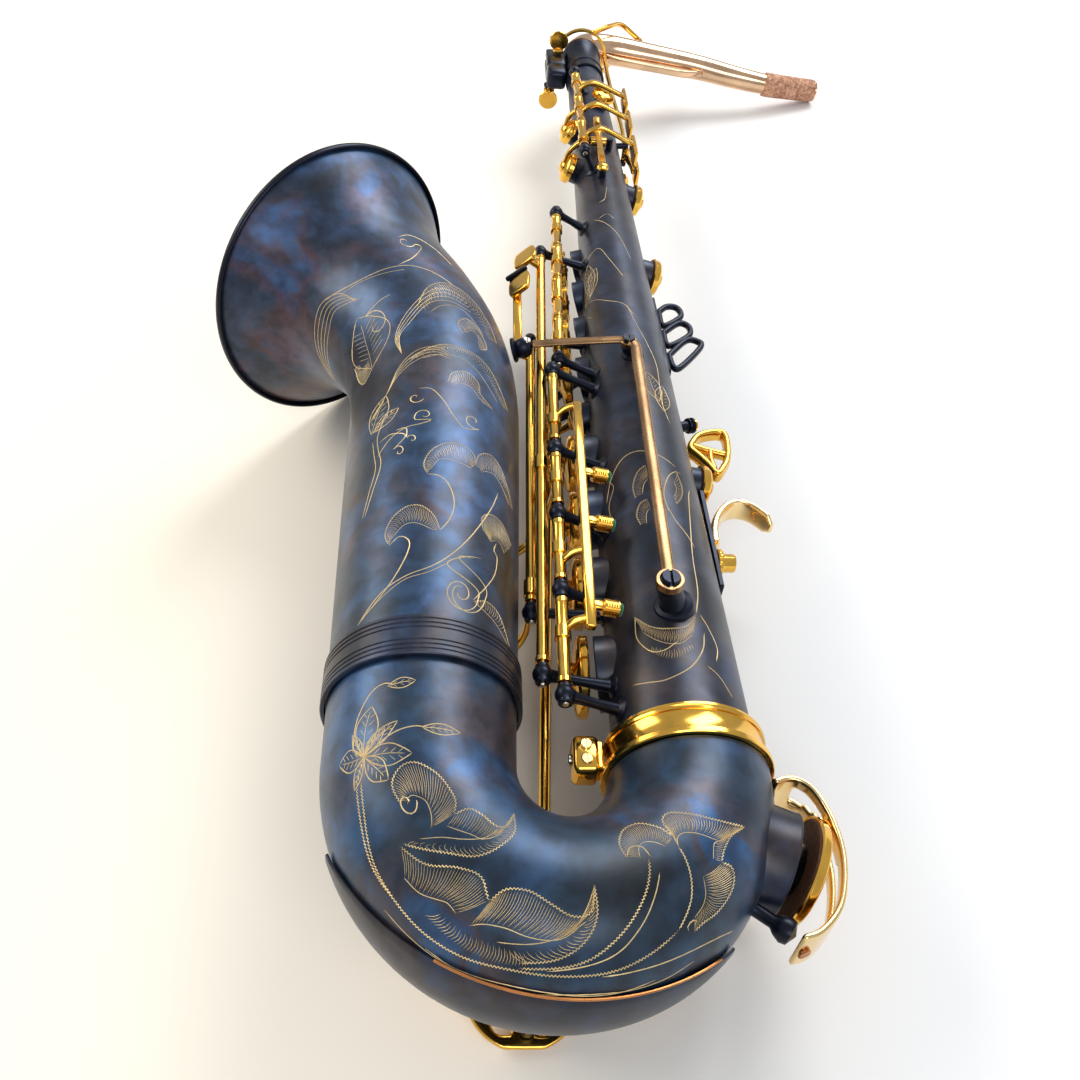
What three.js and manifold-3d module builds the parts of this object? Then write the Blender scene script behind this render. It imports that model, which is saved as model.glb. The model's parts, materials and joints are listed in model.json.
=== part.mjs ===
// Tenor saxophone, lying with its left-hand side up.
// Millimetres. Inside the instrument group the body tube runs along +Y from the bow to the neck,
// the bell tube stands beside it at -X, the player's side is +X and the left-hand side is +Z.
// The group is then tilted by LYING_TILT about Y, as the bell's rim and the neck's tip hold it on
// a table, and moved so that the bottom centre of its bounding box is the origin.
import * as THREE from "three";
import { mergeVertices } from "three/addons/utils/BufferGeometryUtils.js";
import Module from "manifold-3d";

const wasm = await Module();
wasm.setup();

// ---------------------------------------------------------------- driving dimensions
const LYING_TILT = THREE.MathUtils.degToRad(9);
const GAP = 0.35; // left between pieces that touch
const WALL = 1; // sheet thickness of tubes
const BOW_STEPS = 10;
const BELL_STEPS = 11;
const NECK_STEPS = 12;
const BORE_SIDES = 18;

const BODY = { bottom: 0.7, top: 640, radius: 29.2, taper: 0.0245 };
const RECEIVER = { top: 690, outer: 15.2, inner: 12.6 };
const BELL_X = -105.3; // spacing of the bell tube from the body tube
const BELL_Z = 3.7;
const BOW = { top: 1.4, halfWidth: -BELL_X / 2, depth: 58.6, legTop: 28.2, radii: [32.2, 35.9, 37.8] };
const BELL = { bottom: 28.7, straightTop: 200, mouth: 78.6 };
const RIM = { centre: new THREE.Vector3(-167.6, 341.7, -3.1), yaw: 0.751, pitch: -0.081 };
const RIM_BEAD = 2.6;
const NECK_YAW = THREE.MathUtils.degToRad(5.04); // the neck leans towards the lower side
const NECK_TIP = { reach: 205, height: 703.8 };
const ROD = 1.5; // hinge rods
const ROD_BORE = 1.95;
const ROD_SIDES = 6;
const HINGE_TUBE = 3.1;
const POST_BALL = 4.4;
const POST_HALF = 4.3;
const PAD_LIFT = 0.45; // pad above a tone hole's rim when the key is shut
const CHIMNEY = 4.2;

// ---------------------------------------------------------------- finishes
const finish = (color, roughness, metalness) => ({ color, roughness, metalness });
const LACQUER = finish(0x27304f, 0.5, 0.6);
const BLACK = finish(0x17181c, 0.45, 0.6);
const GOLD = finish(0xd9a21b, 0.22, 1);
const ROSE_GOLD = finish(0xc99a78, 0.25, 1);
const STEEL = finish(0x9a9a9a, 0.3, 1);
const CORK = finish(0xb97f5c, 0.9, 0);

// ---------------------------------------------------------------- shape helpers
const v = (x, y, z) => new THREE.Vector3(x, y, z);
const polar = (radius, degrees, y = 0) => {
  const angle = THREE.MathUtils.degToRad(degrees);
  return v(radius * Math.cos(angle), y, radius * Math.sin(angle));
};

function solidOf(geometry) {
  const bare = geometry.clone();
  bare.deleteAttribute("normal");
  bare.deleteAttribute("uv");
  const merged = mergeVertices(bare, 1e-3);
  const index = merged.index.array;
  const triangles = [];
  for (let i = 0; i < index.length; i += 3) {
    const [a, b, c] = [index[i], index[i + 1], index[i + 2]];
    if (a !== b && b !== c && a !== c) triangles.push(a, b, c);
  }
  return new wasm.Manifold(new wasm.Mesh({
    numProp: 3,
    vertProperties: Float32Array.from(merged.attributes.position.array),
    triVerts: Uint32Array.from(triangles),
  }));
}

function geometryOf(solid) {
  const mesh = solid.getMesh();
  const geometry = new THREE.BufferGeometry();
  geometry.setAttribute("position", new THREE.BufferAttribute(Float32Array.from(mesh.vertProperties), 3));
  geometry.setIndex(new THREE.BufferAttribute(Uint32Array.from(mesh.triVerts), 1));
  geometry.computeVertexNormals();
  return geometry;
}

const join = (solids) => solids.reduce((whole, next) => whole.add(next));
const cut = (solid, tools) => tools.reduce((rest, tool) => rest.subtract(tool), solid);

// Basis with Y along `direction` and Z as near `up` as it can be.
function basisAlong(direction, up = v(0, 0, 1)) {
  const y = direction.clone().normalize();
  const x = y.clone().cross(up);
  if (x.lengthSq() < 1e-6) x.copy(y).cross(v(1, 0, 0));
  x.normalize();
  return new THREE.Matrix4().makeBasis(x, y, x.clone().cross(y));
}

function placed(geometry, origin, direction, up) {
  geometry.applyMatrix4(basisAlong(direction, up));
  geometry.translate(origin.x, origin.y, origin.z);
  return solidOf(geometry);
}

function rod(from, to, radius, sides = 7, endRadius = radius) {
  const along = to.clone().sub(from);
  const geometry = new THREE.CylinderGeometry(endRadius, radius, along.length(), sides);
  return placed(geometry, from.clone().lerp(to, 0.5), along);
}

function ball(centre, radius, sides = 7) {
  const geometry = new THREE.SphereGeometry(radius, sides, 4);
  geometry.translate(centre.x, centre.y, centre.z);
  return solidOf(geometry);
}

// A bar of rectangular section; `up` is the direction of its thickness.
function bar(from, to, width, thickness, up) {
  const along = to.clone().sub(from);
  const geometry = new THREE.BoxGeometry(width, along.length(), thickness);
  return placed(geometry, from.clone().lerp(to, 0.5), along, up);
}

function bars(points, width, thickness, up) {
  const pieces = [];
  for (let i = 1; i < points.length; i += 1) {
    const lap = points[i].clone().sub(points[i - 1]).setLength(thickness / 2);
    pieces.push(bar(points[i - 1].clone().sub(lap), points[i].clone().add(lap), width, thickness, up));
  }
  return join(pieces);
}

// A profile of [radius, height] pairs turned about `direction`; it closes on itself or on the axis.
function turned(profile, origin, direction, sides = 16, up) {
  const points = profile.map(([radius, height]) => new THREE.Vector2(radius, height));
  return placed(new THREE.LatheGeometry(points, sides), origin, direction, up);
}

const ring = (origin, direction, outer, inner, height, sides = 24, up) => turned(
  [[inner, 0], [outer, 0], [outer, height], [inner, height], [inner, 0]],
  origin,
  direction,
  sides,
  up,
);

// A solid tube whose centre follows place(t) = { point, tangent } and whose radius is radiusAt(t).
function bent(place, radiusAt, steps, sides = BORE_SIDES) {
  const geometry = new THREE.CylinderGeometry(1, 1, 1, sides, steps);
  const position = geometry.attributes.position;
  for (let i = 0; i < position.count; i += 1) {
    const t = position.getY(i) + 0.5;
    const { point, tangent } = place(t);
    const offset = v(position.getX(i), 0, position.getZ(i)).multiplyScalar(radiusAt(t));
    offset.applyMatrix4(basisAlong(tangent)).add(point);
    position.setXYZ(i, offset.x, offset.y, offset.z);
  }
  return solidOf(geometry);
}

const curvePlace = (curve) => (t) => ({ point: curve.getPointAt(t), tangent: curve.getTangentAt(t) });
const mix = (values, t) => {
  const at = t * (values.length - 1);
  const low = Math.min(Math.floor(at), values.length - 2);
  return THREE.MathUtils.lerp(values[low], values[low + 1], at - low);
};

// ---------------------------------------------------------------- assembly helpers
const saxophone = new THREE.Group();

function addMesh(parent, name, solid, look, origin = v(0, 0, 0)) {
  const geometry = geometryOf(solid);
  geometry.translate(-origin.x, -origin.y, -origin.z);
  const mesh = new THREE.Mesh(geometry, new THREE.MeshStandardMaterial(look));
  mesh.name = name;
  parent.add(mesh);
}

const fixed = (name, solid, look) => addMesh(saxophone, name, solid, look);

// A pivot is a group that stands on a hinge; meshes inside it turn together. `restDegrees` turns
// them from the place they were drawn in to the rest pose.
function pivot(parent, hinge, limits, restDegrees = 0) {
  const group = new THREE.Group();
  group.position.copy(hinge.point);
  const angle = THREE.MathUtils.degToRad(restDegrees);
  group.quaternion.setFromAxisAngle(hinge.axis.clone().normalize(), angle);
  group.userData.hinge = { axis: hinge.axis.clone().normalize().toArray(), limits };
  parent.add(group);
  return group;
}

// ---------------------------------------------------------------- bore tubes
const bodyRadius = (y) => BODY.radius - BODY.taper * y;

const bowAngle = (t) => Math.PI * t;
const bowPoint = (t) => v(
  -BOW.halfWidth + BOW.halfWidth * Math.cos(bowAngle(t)),
  BOW.top - BOW.depth * Math.sin(bowAngle(t)),
  BELL_Z * t,
);
const BOW_SHARE = 0.88; // of the bow's length that is curved; the rest is the straight leg
function bowPlace(t) {
  if (t > BOW_SHARE) {
    const rise = (t - BOW_SHARE) / (1 - BOW_SHARE);
    return { point: v(BELL_X, BOW.top + (BOW.legTop - BOW.top) * rise, BELL_Z), tangent: v(0, 1, 0) };
  }
  const s = t / BOW_SHARE;
  const tangent = v(-BOW.halfWidth * Math.sin(bowAngle(s)), -BOW.depth * Math.cos(bowAngle(s)), 0);
  return { point: bowPoint(s), tangent };
}

const rimNormal = v(
  -Math.sin(RIM.yaw) * Math.cos(RIM.pitch),
  Math.cos(RIM.yaw) * Math.cos(RIM.pitch),
  Math.sin(RIM.pitch),
);
const bellCurve = new THREE.CurvePath();
bellCurve.add(new THREE.LineCurve3(v(BELL_X, BELL.bottom, BELL_Z), v(BELL_X, BELL.straightTop, BELL_Z)));
bellCurve.add(new THREE.CubicBezierCurve3(
  v(BELL_X, BELL.straightTop, BELL_Z),
  v(BELL_X, BELL.straightTop + 66, BELL_Z),
  RIM.centre.clone().addScaledVector(rimNormal, -62),
  RIM.centre,
));
const BELL_FLARE = [38.2, 39.2, 40.1, 41, 41.8, 42.5, 43.3, 44.8, 48, 55.5, 78.6];
const bellRadius = (t) => mix(BELL_FLARE, t);

const neckPoint = (reach, height) => v(reach * Math.cos(NECK_YAW), height, -reach * Math.sin(NECK_YAW));
const NECK_PATH = [
  [0, RECEIVER.top + 4], [3, 704], [12, 711], [27, 714], [48, 713.5], [75, 712.5],
  [105, 710], [136, 703], [163, 699.8], [184, 701.2], [NECK_TIP.reach, NECK_TIP.height],
];
const neckCurve = new THREE.CatmullRomCurve3(NECK_PATH.map(([reach, height]) => neckPoint(reach, height)));
const NECK_RADII = [12.4, 12.2, 11.8, 11.2, 10.6, 10, 9.4, 8.8, 8.2, 7.8, 7.5];
const CORK_SHARE = 0.79; // of the neck's length, where the cork starts

// ---------------------------------------------------------------- tone holes
// Body holes: y, direction in degrees from the player's side, hole radius.
const HOLES = {
  d: { y: 58, angle: 192, radius: 15.5 },
  e: { y: 106, angle: 192, radius: 14.5 },
  f: { y: 152, angle: 192, radius: 13.5 },
  fSharp: { y: 195, angle: 192, radius: 12.5 },
  g: { y: 268, angle: 200, radius: 11.5 },
  a: { y: 308, angle: 200, radius: 10.5 },
  b: { y: 346, angle: 200, radius: 10 },
  c: { y: 382, angle: 200, radius: 9.5 },
  gSharp: { y: 236, angle: 205, radius: 8 },
  sideFSharp: { y: 180, angle: -10, radius: 8 },
  sideBFlat: { y: 372, angle: -12, radius: 9 },
  sideC: { y: 467, angle: -12, radius: 8 },
  highE: { y: 508, angle: -42, radius: 6.5 },
  palmD: { y: 482, angle: 160, radius: 7.5 },
  palmEFlat: { y: 530, angle: 150, radius: 6.5 },
  palmF: { y: 572, angle: 72, radius: 6 },
};
for (const hole of Object.values(HOLES)) {
  hole.axisPoint = v(0, hole.y, 0);
  hole.normal = polar(1, hole.angle);
  hole.rim = bodyRadius(hole.y) + CHIMNEY;
}
const bellHole = (y, angle, radius) => ({
  y, radius, axisPoint: v(BELL_X, y, BELL_Z), normal: polar(1, angle), rim: bellRadius(y / 420) + 6,
});
HOLES.lowB = bellHole(170, 276, 21);
HOLES.lowBFlat = bellHole(100, 276, 22);
const bowHole = (t, normal, radius) => {
  const { point } = bowPlace(t);
  return { y: point.y, radius, axisPoint: point, normal: normal.normalize(), rim: mix(BOW.radii, t) + 6 };
};
HOLES.lowC = bowHole(0.12 * BOW_SHARE, v(0.95, -0.3, -0.12), 19.5);
HOLES.lowEFlat = bowHole(0.3 * BOW_SHARE, v(0, 0, -1), 17.5);
HOLES.lowCSharp = bowHole(0.75 * BOW_SHARE, v(0, 0, -1), 18.5);

const along = (hole, distance) => hole.axisPoint.clone().addScaledVector(hole.normal, distance);
const chimneySides = (hole) => (hole.radius > 10 ? 10 : 6);
const chimneyWall = (hole) => rod(
  along(hole, 1),
  along(hole, hole.rim),
  hole.radius + WALL,
  chimneySides(hole),
);
const chimneyBore = (hole) => rod(
  along(hole, hole.rim * 0.35),
  along(hole, hole.rim + 5),
  hole.radius,
  chimneySides(hole),
);

// ---------------------------------------------------------------- hinge rods and posts
// Each rod runs parallel to the tapering tube beside it.
const rodLine = (from, to, posts) => ({ from, to, posts });
const RODS = {
  lowerStack: rodLine(v(-49.6, 22, 20), v(-45.6, 241, 20), [27, 82, 129, 174, 236]),
  upperStack: rodLine(v(-41.5, 244, 18), v(-35.5, 407, 18), [249, 402]),
  lowB: rodLine(v(-57.4, 36, 13), v(-46.4, 368, 13), [42, 362]),
  lowBFlat: rodLine(v(-59.4, 80, 0), v(-53.6, 295, 0), [86, 288.5]),
  lowCSharp: rodLine(v(-55, -66, -50), v(-39, 292, -41), [-60, 286]),
  bowKeys: rodLine(v(9, -54, -48), v(9, 98, -46), [-49, 26, 93]),
  gSharp: rodLine(v(-42, 212, -28), v(-41, 256, -28), [216, 252]),
  palm: rodLine(v(-15, 460, 30), v(-14, 596, 28), [465, 591]),
  back: rodLine(v(17, 118, -33), v(12, 546, -24), [123, 541]),
};
const rodPoint = (line, y) => line.from.clone().lerp(line.to, (y - line.from.y) / (line.to.y - line.from.y));
const rodBore = (line) => rod(line.from, line.to, ROD_BORE, ROD_SIDES);
const rodAxis = (line) => line.to.clone().sub(line.from).normalize();

// A post is a short barrel on a stem whose foot is in the wall of the tube round `axisPoint`.
function postOn(centre, axisPoint, radius, axis) {
  const foot = axisPoint.clone().add(centre.clone().sub(axisPoint).setLength(radius - 0.6));
  const half = axis.clone().setLength(POST_HALF);
  const barrel = rod(centre.clone().sub(half), centre.clone().add(half), POST_BALL, 6);
  return join([barrel, rod(foot, centre, 3, 5, 2.4)]);
}
const post = (line, y) => postOn(rodPoint(line, y), v(0, y, 0), bodyRadius(y), rodAxis(line));

// ---------------------------------------------------------------- body, bow and bell
const onBody = ["d", "e", "f", "fSharp", "g", "a", "b", "c", "gSharp", "sideFSharp", "sideBFlat", "sideC",
  "highE", "palmD", "palmEFlat", "palmF"].map((name) => HOLES[name]);
const bodyLines = ["lowerStack", "upperStack", "lowB", "lowBFlat", "gSharp", "palm", "back"]
  .map((name) => RODS[name]);
const cone = (shrink, overrun) => rod(
  v(0, BODY.bottom - overrun, 0),
  v(0, BODY.top + overrun, 0),
  bodyRadius(BODY.bottom) - shrink,
  BORE_SIDES,
  bodyRadius(BODY.top) - shrink,
);
const octaveVent = rod(v(-3, 455, 12), v(-3, 455, 22.5), 3);
const rocker = { from: v(-13, 497, 21), to: v(8, 497, 21) };
const thumbLine = { from: v(22.1, 524, -8.4), to: v(22.1, 524, 8.4) };
const bodyPosts = [
  ...bodyLines.flatMap((line) => line.posts.map((y) => post(line, y))),
  post(RODS.lowCSharp, 286), post(RODS.bowKeys, 26), post(RODS.bowKeys, 93),
  ...[-10.5, 5.5].map((x) => rod(v(x, 497, 13), v(x, 497, 24), 2.4, 6)),
  ...[-7, 7].map((z) => rod(v(12, 524, z * 0.8), v(23, 524, z), 2.2, 6)),
  rod(rocker.from, rocker.to, 1, ROD_SIDES),
  rod(thumbLine.from, thumbLine.to, 1, ROD_SIDES),
];
const brace = { upper: v(-5.6, 250.8, 30), lower: v(-6.7, 69.2, 42) };
const footOn = (point, top, radius) => {
  const ground = bodyRadius(point.y) - 0.5;
  return join([
    rod(v(point.x * 0.2, point.y, ground - 3), v(point.x * 0.6, point.y, ground + 3), radius, 12),
    rod(v(point.x * 0.4, point.y, ground), v(point.x, point.y, top), radius * 0.62, 12),
  ]);
};
const braceFeet = [footOn(brace.lower, brace.lower.z - 2.8, 8.6), footOn(brace.upper, brace.upper.z - 1.4, 6)];
fixed("body_tube", cut(
  join([cone(0, 0), ...braceFeet, ...onBody.map(chimneyWall), octaveVent, ...bodyPosts]),
  [cone(WALL, 1), ...onBody.map(chimneyBore), rod(v(-3, 455, 5), v(-3, 455, 24), 1.2),
    ...Object.values(RODS).map(rodBore)],
), LACQUER);

for (const [name, line] of Object.entries(RODS)) {
  const label = name.replace(/[A-Z]/g, (letter) => `_${letter.toLowerCase()}`);
  fixed(`${label}_rod`, rod(line.from, line.to, ROD, ROD_SIDES), STEEL);
}

const bowHoles = [HOLES.lowC, HOLES.lowEFlat, HOLES.lowCSharp];
const bowRadius = (t) => mix(BOW.radii, t);
const bowPosts = [
  postOn(rodPoint(RODS.bowKeys, -49), v(-20, -42, 0), 34, rodAxis(RODS.bowKeys)),
  postOn(rodPoint(RODS.lowCSharp, -60), v(-52, -57, 2), 35, rodAxis(RODS.lowCSharp)),
  rod(v(-60, -71, -26), v(-60, -71, -62.4), 3.4),
  rod(v(27, -3, 0), v(33.6, -3, 0), 3),
  rod(v(12, -47, 0), v(31.6, -62, 0), 3.2),
];
fixed("bow", cut(
  join([bent(bowPlace, bowRadius, BOW_STEPS), ...bowHoles.map(chimneyWall), ...bowPosts]),
  [bent((t) => {
    const place = bowPlace(t);
    const overrun = t === 0 || t === 1 ? place.tangent.clone().setLength(t - 0.5) : v(0, 0, 0);
    return { point: place.point.add(overrun), tangent: place.tangent };
  }, (t) => bowRadius(t) - WALL, BOW_STEPS), ...bowHoles.map(chimneyBore), rodBore(RODS.bowKeys),
    rodBore(RODS.lowCSharp)],
), LACQUER);

const bellHoles = [HOLES.lowB, HOLES.lowBFlat];
const bellPlace = curvePlace(bellCurve);
fixed("bell", cut(
  join([bent(bellPlace, bellRadius, BELL_STEPS), ...bellHoles.map(chimneyWall)]),
  [bent((t) => {
    const place = bellPlace(t);
    const overrun = t === 0 || t === 1 ? place.tangent.clone().setLength(t - 0.5) : v(0, 0, 0);
    return { point: place.point.add(overrun), tangent: place.tangent };
  }, (t) => bellRadius(t) - WALL, BELL_STEPS), ...bellHoles.map(chimneyBore)],
), LACQUER);

const rimEdge = BELL.mouth + GAP;
fixed("bell_rim", turned(
  [[rimEdge, -2.4], [rimEdge + RIM_BEAD, -1.4], [rimEdge + RIM_BEAD, 1.2], [rimEdge + 1, 2], [rimEdge, 2],
    [rimEdge, -2.4]],
  RIM.centre,
  rimNormal,
  32,
), BLACK);

const bodyRingInner = bodyRadius(0) + GAP;
fixed("body_bow_ring", turned(
  [[bodyRingInner, 1.8], [34.4, 1.8], [34.4, 4.6], [31.9, 6], [31.9, 13], [32.6, 14.4], [32.6, 17],
    [bodyRingInner, 17], [bodyRingInner, 1.8]],
  v(0, 0, 0),
  v(0, 1, 0),
  BORE_SIDES,
), GOLD);
fixed("ring_clamp_block", bar(v(-40.4, 3, 0), v(-40.4, 17, 0), 10.5, 13, v(0, 0, 1)), GOLD);
fixed("bell_bow_ring", turned(
  [[38.6, 26.8], [41, 26.8], [41, 30], [40.2, 31], [40.2, 42], [41.2, 43], [41.2, 46], [39.3, 46],
    [38.6, 26.8]],
  v(BELL_X, 0, BELL_Z),
  v(0, 1, 0),
  24,
), BLACK);

// ---------------------------------------------------------------- receiver and neck
const CLAMP = { x: -22.5, width: 15, bottom: 641, top: 682 };
fixed("neck_receiver", cut(
  join([
    rod(v(0, BODY.top + GAP, 0), v(0, RECEIVER.top, 0), RECEIVER.outer, BORE_SIDES),
    bar(v(CLAMP.x, CLAMP.bottom, 0), v(CLAMP.x, CLAMP.top, 0), CLAMP.width + 6, 15, v(0, 0, 1)),
  ]),
  [
    rod(v(0, BODY.top - 1, 0), v(0, RECEIVER.top + 1, 0), RECEIVER.inner, BORE_SIDES),
    bar(v(-24, 655, 0), v(-24, 700, 0), 28, 1.4, v(0, 0, 1)),
    rod(v(-21, 674, -4), v(-21, 674, 12), 2.4),
    rod(v(-27, 648, -12), v(-27, 648, 2), 2.4),
  ],
), BLACK);

const paddleScrew = (origin, direction) => join([
  rod(origin, origin.clone().addScaledVector(direction, 13), 2),
  rod(origin.clone().addScaledVector(direction, 10.4), origin.clone().addScaledVector(direction, 13), 4.4, 10),
  turned(
    [[0, -1.2], [7.6, -1.2], [7.6, 1.2], [0, 1.2]],
    origin.clone().addScaledVector(direction, 19.5),
    v(0, 1, 0),
    14,
  ),
]);
const SCREWS = {
  neck_screw: { origin: v(-21, 674, -2), direction: v(0, 0, 1) },
  lyre_screw: { origin: v(-27, 648, 0), direction: v(0, 0, -1) },
};
for (const [name, screw] of Object.entries(SCREWS)) {
  const hinge = { point: screw.origin, axis: screw.direction };
  const group = pivot(saxophone, hinge, "turns");
  addMesh(group, name, paddleScrew(screw.origin, screw.direction), GOLD, screw.origin);
}

const neckPivot = v(0, RECEIVER.top, 0);
const neckGroup = pivot(saxophone, { point: neckPivot, axis: v(0, 1, 0) }, [-30, 60]);
const neckRadius = (t) => mix(NECK_RADII, t);
const neckPlace = curvePlace(neckCurve);
const neckBrace = bars(
  [neckPoint(16, 700), neckPoint(30, 694.5), neckPoint(92, 691), neckPoint(108, 703)],
  6,
  2.6,
  v(0, 1, 0.001),
);
const neckOctavePip = rod(neckPoint(100, 716), neckPoint(100, 724), 3);
const octaveHinge = neckPoint(52, 729);
const neckSaddle = bar(neckPoint(52, 720), neckPoint(52, 731.5), 5, 7.5, v(0, 0, 1));
const neckTube = (shrink, overrun) => bent((t) => {
  const place = neckPlace(t);
  const push = t === 0 || t === 1 ? place.tangent.clone().setLength((t - 0.5) * overrun) : v(0, 0, 0);
  return { point: place.point.add(push), tangent: place.tangent };
}, (t) => neckRadius(t) - shrink, NECK_STEPS, 10);
const tenonBottom = BODY.top + 12;
const collar = RECEIVER.top + GAP;
const inNeck = (name, solid, look) => addMesh(neckGroup, name, solid, look, neckPivot);
inNeck("neck", cut(
  join([
    neckTube(0, 0),
    rod(v(0, tenonBottom, 0), v(0, collar + 5, 0), RECEIVER.inner - 0.5, BORE_SIDES),
    rod(v(0, collar, 0), v(0, collar + 4.5, 0), 14.6, BORE_SIDES),
    neckBrace,
    neckOctavePip,
    neckSaddle,
  ]),
  [neckTube(WALL, 2), rod(v(0, tenonBottom - 1, 0), v(0, collar + 6, 0), RECEIVER.inner - 1.5, 12),
    rod(neckPoint(100, 705), neckPoint(100, 726), 1.2),
    rod(octaveHinge.clone().add(v(0, 0, -6)), octaveHinge.clone().add(v(0, 0, 6)), ROD_BORE)],
), ROSE_GOLD);
const corkSpan = (radius, overrun) => bent((t) => {
  const place = neckPlace(THREE.MathUtils.lerp(CORK_SHARE, 0.995, t));
  const push = t === 0 || t === 1 ? place.tangent.clone().setLength((t - 0.5) * overrun) : v(0, 0, 0);
  return { point: place.point.add(push), tangent: place.tangent };
}, radius, 3, 10);
inNeck("neck_cork", cut(
  corkSpan((t) => neckRadius(THREE.MathUtils.lerp(CORK_SHARE, 0.995, t)) + 1.5, 0),
  [corkSpan((t) => neckRadius(THREE.MathUtils.lerp(CORK_SHARE, 0.995, t)) + 0.45, 2)],
), CORK);

// Neck octave key: a ring round the collar, an arm over the tube and a pad on the vent.
const octaveAxis = v(0, 0, 1);
const octaveGroup = pivot(neckGroup, { point: octaveHinge.clone().sub(neckPivot), axis: octaveAxis }, [0, 3.5]);
const besideHinge = (dx, dy, dz) => octaveHinge.clone().add(v(dx, dy, dz));
const octaveArm = (side) => bars(
  [v(8, 695, 18 * side), v(24, 713, 17.8 * side), v(36, 731, 12.5 * side), besideHinge(0, 3, 6 * side)],
  3.4,
  2.6,
  v(0, 1, 0.001),
);
addMesh(octaveGroup, "neck_octave_key", cut(
  join([
    ring(v(0, 692.5, 0), v(-0.03, 1, -0.05), 20.6, 17.8, 3.2, 14),
    octaveArm(1),
    octaveArm(-1),
    rod(besideHinge(0, 0, -7.4), besideHinge(0, 0, -4.4), HINGE_TUBE),
    rod(besideHinge(0, 0, 4.4), besideHinge(0, 0, 7.4), HINGE_TUBE),
    bar(besideHinge(0, 4.2, -7), besideHinge(0, 4.2, 7), 5, 2.6, v(0, 1, 0)),
    bar(besideHinge(0, 4.2, 0), neckPoint(101, 729), 4, 2.4, v(0, 1, 0)),
    rod(neckPoint(100, 724.5), neckPoint(100, 729.5), 4, 8),
  ]),
  [rod(besideHinge(0, 0, -9), besideHinge(0, 0, 9), ROD_BORE)],
), GOLD, octaveHinge);

// ---------------------------------------------------------------- keys
// A cup is drawn shut on its tone hole; an open-standing key is then turned away from it.
function cup(hole, rise = 7) {
  const radius = hole.radius + 2.6;
  return turned(
    [[0, 0], [radius, 0], [radius, rise * 0.45], [radius * 0.82, rise * 0.78], [0, rise]],
    along(hole, hole.rim + PAD_LIFT),
    hole.normal,
    chimneySides(hole),
  );
}

// parts: extra solids of the key, drawn with the cup shut. `stands` is open or shut.
function key(name, { line, from, to, hole, stands, swing, parts = [], arm = 6, elbows = [] }) {
  const [low, high] = [rodPoint(line, from), rodPoint(line, to)];
  const tube = rod(low, high, HINGE_TUBE);
  const crown = along(hole, hole.rim + PAD_LIFT + 6);
  const root = rodPoint(line, THREE.MathUtils.clamp(crown.y, from + arm / 2 + 1, to - arm / 2 - 1));
  const reach = bars([root, ...elbows, crown], arm, 3, hole.normal);
  const solid = cut(join([tube, cup(hole), reach, ...parts]), [rodBore(line)]);
  const axis = rodAxis(line);
  const opens = Math.sign(axis.clone().cross(crown.clone().sub(root)).dot(hole.normal));
  const turn = axis.clone().multiplyScalar(stands === "open" ? -opens : opens);
  const group = pivot(saxophone, { point: low, axis: turn }, [0, swing], stands === "open" ? -swing : 0);
  addMesh(group, name, solid, GOLD, low);
}

const lower = RODS.lowerStack;
const upper = RODS.upperStack;
// A finger's touch stands on the crown of the cup.
const stackTouch = (hole) => [rod(along(hole, hole.rim + 5), along(hole, hole.rim + 10.5), 6.8, 10)];
key("low_d_key", { line: lower, from: 32.4, to: 76.4, hole: HOLES.d, stands: "open", swing: 8,
  parts: stackTouch(HOLES.d) });
key("low_e_key", { line: lower, from: 87.6, to: 123.4, hole: HOLES.e, stands: "open", swing: 8,
  parts: stackTouch(HOLES.e) });
key("low_f_key", { line: lower, from: 134.6, to: 168.4, hole: HOLES.f, stands: "open", swing: 8,
  parts: stackTouch(HOLES.f) });

// The F sharp key has a bar along the stack with three adjusting screws and a curved arm at each end.
const helperAt = (y) => rodPoint(lower, y).add(v(9.5, 0, 9));
const helperScrew = (y) => {
  const start = helperAt(y).add(v(1, 0, 0));
  return join([bar(helperAt(y), start.clone().add(v(7, 0, -0.4)), 4.5, 3, v(0, 0, 1)),
    rod(start.clone().add(v(5, 0, -0.4)), start.clone().add(v(12.6, 0, -0.8)), 3.8, 10)]);
};
key("f_sharp_key", { line: lower, from: 179.6, to: 230.4, hole: HOLES.fSharp, stands: "open", swing: 8,
  parts: [
    bar(helperAt(56), helperAt(200), 4.6, 4, v(0, 0, 1)),
    bar(rodPoint(lower, 198), helperAt(198), 4.4, 3.4, v(1, 0, -1)),
    helperScrew(68), helperScrew(118), helperScrew(150),
  ] });

key("g_key", { line: upper, from: 257.6, to: 286, hole: HOLES.g, stands: "open", swing: 9 });
key("a_key", { line: upper, from: 286.8, to: 326, hole: HOLES.a, stands: "open", swing: 9,
  parts: stackTouch(HOLES.a) });
key("b_key", { line: upper, from: 326.8, to: 361, hole: HOLES.b, stands: "open", swing: 9,
  parts: stackTouch(HOLES.b) });
key("c_key", { line: upper, from: 361.8, to: 396.4, hole: HOLES.c, stands: "open", swing: 9,
  parts: stackTouch(HOLES.c) });

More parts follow.
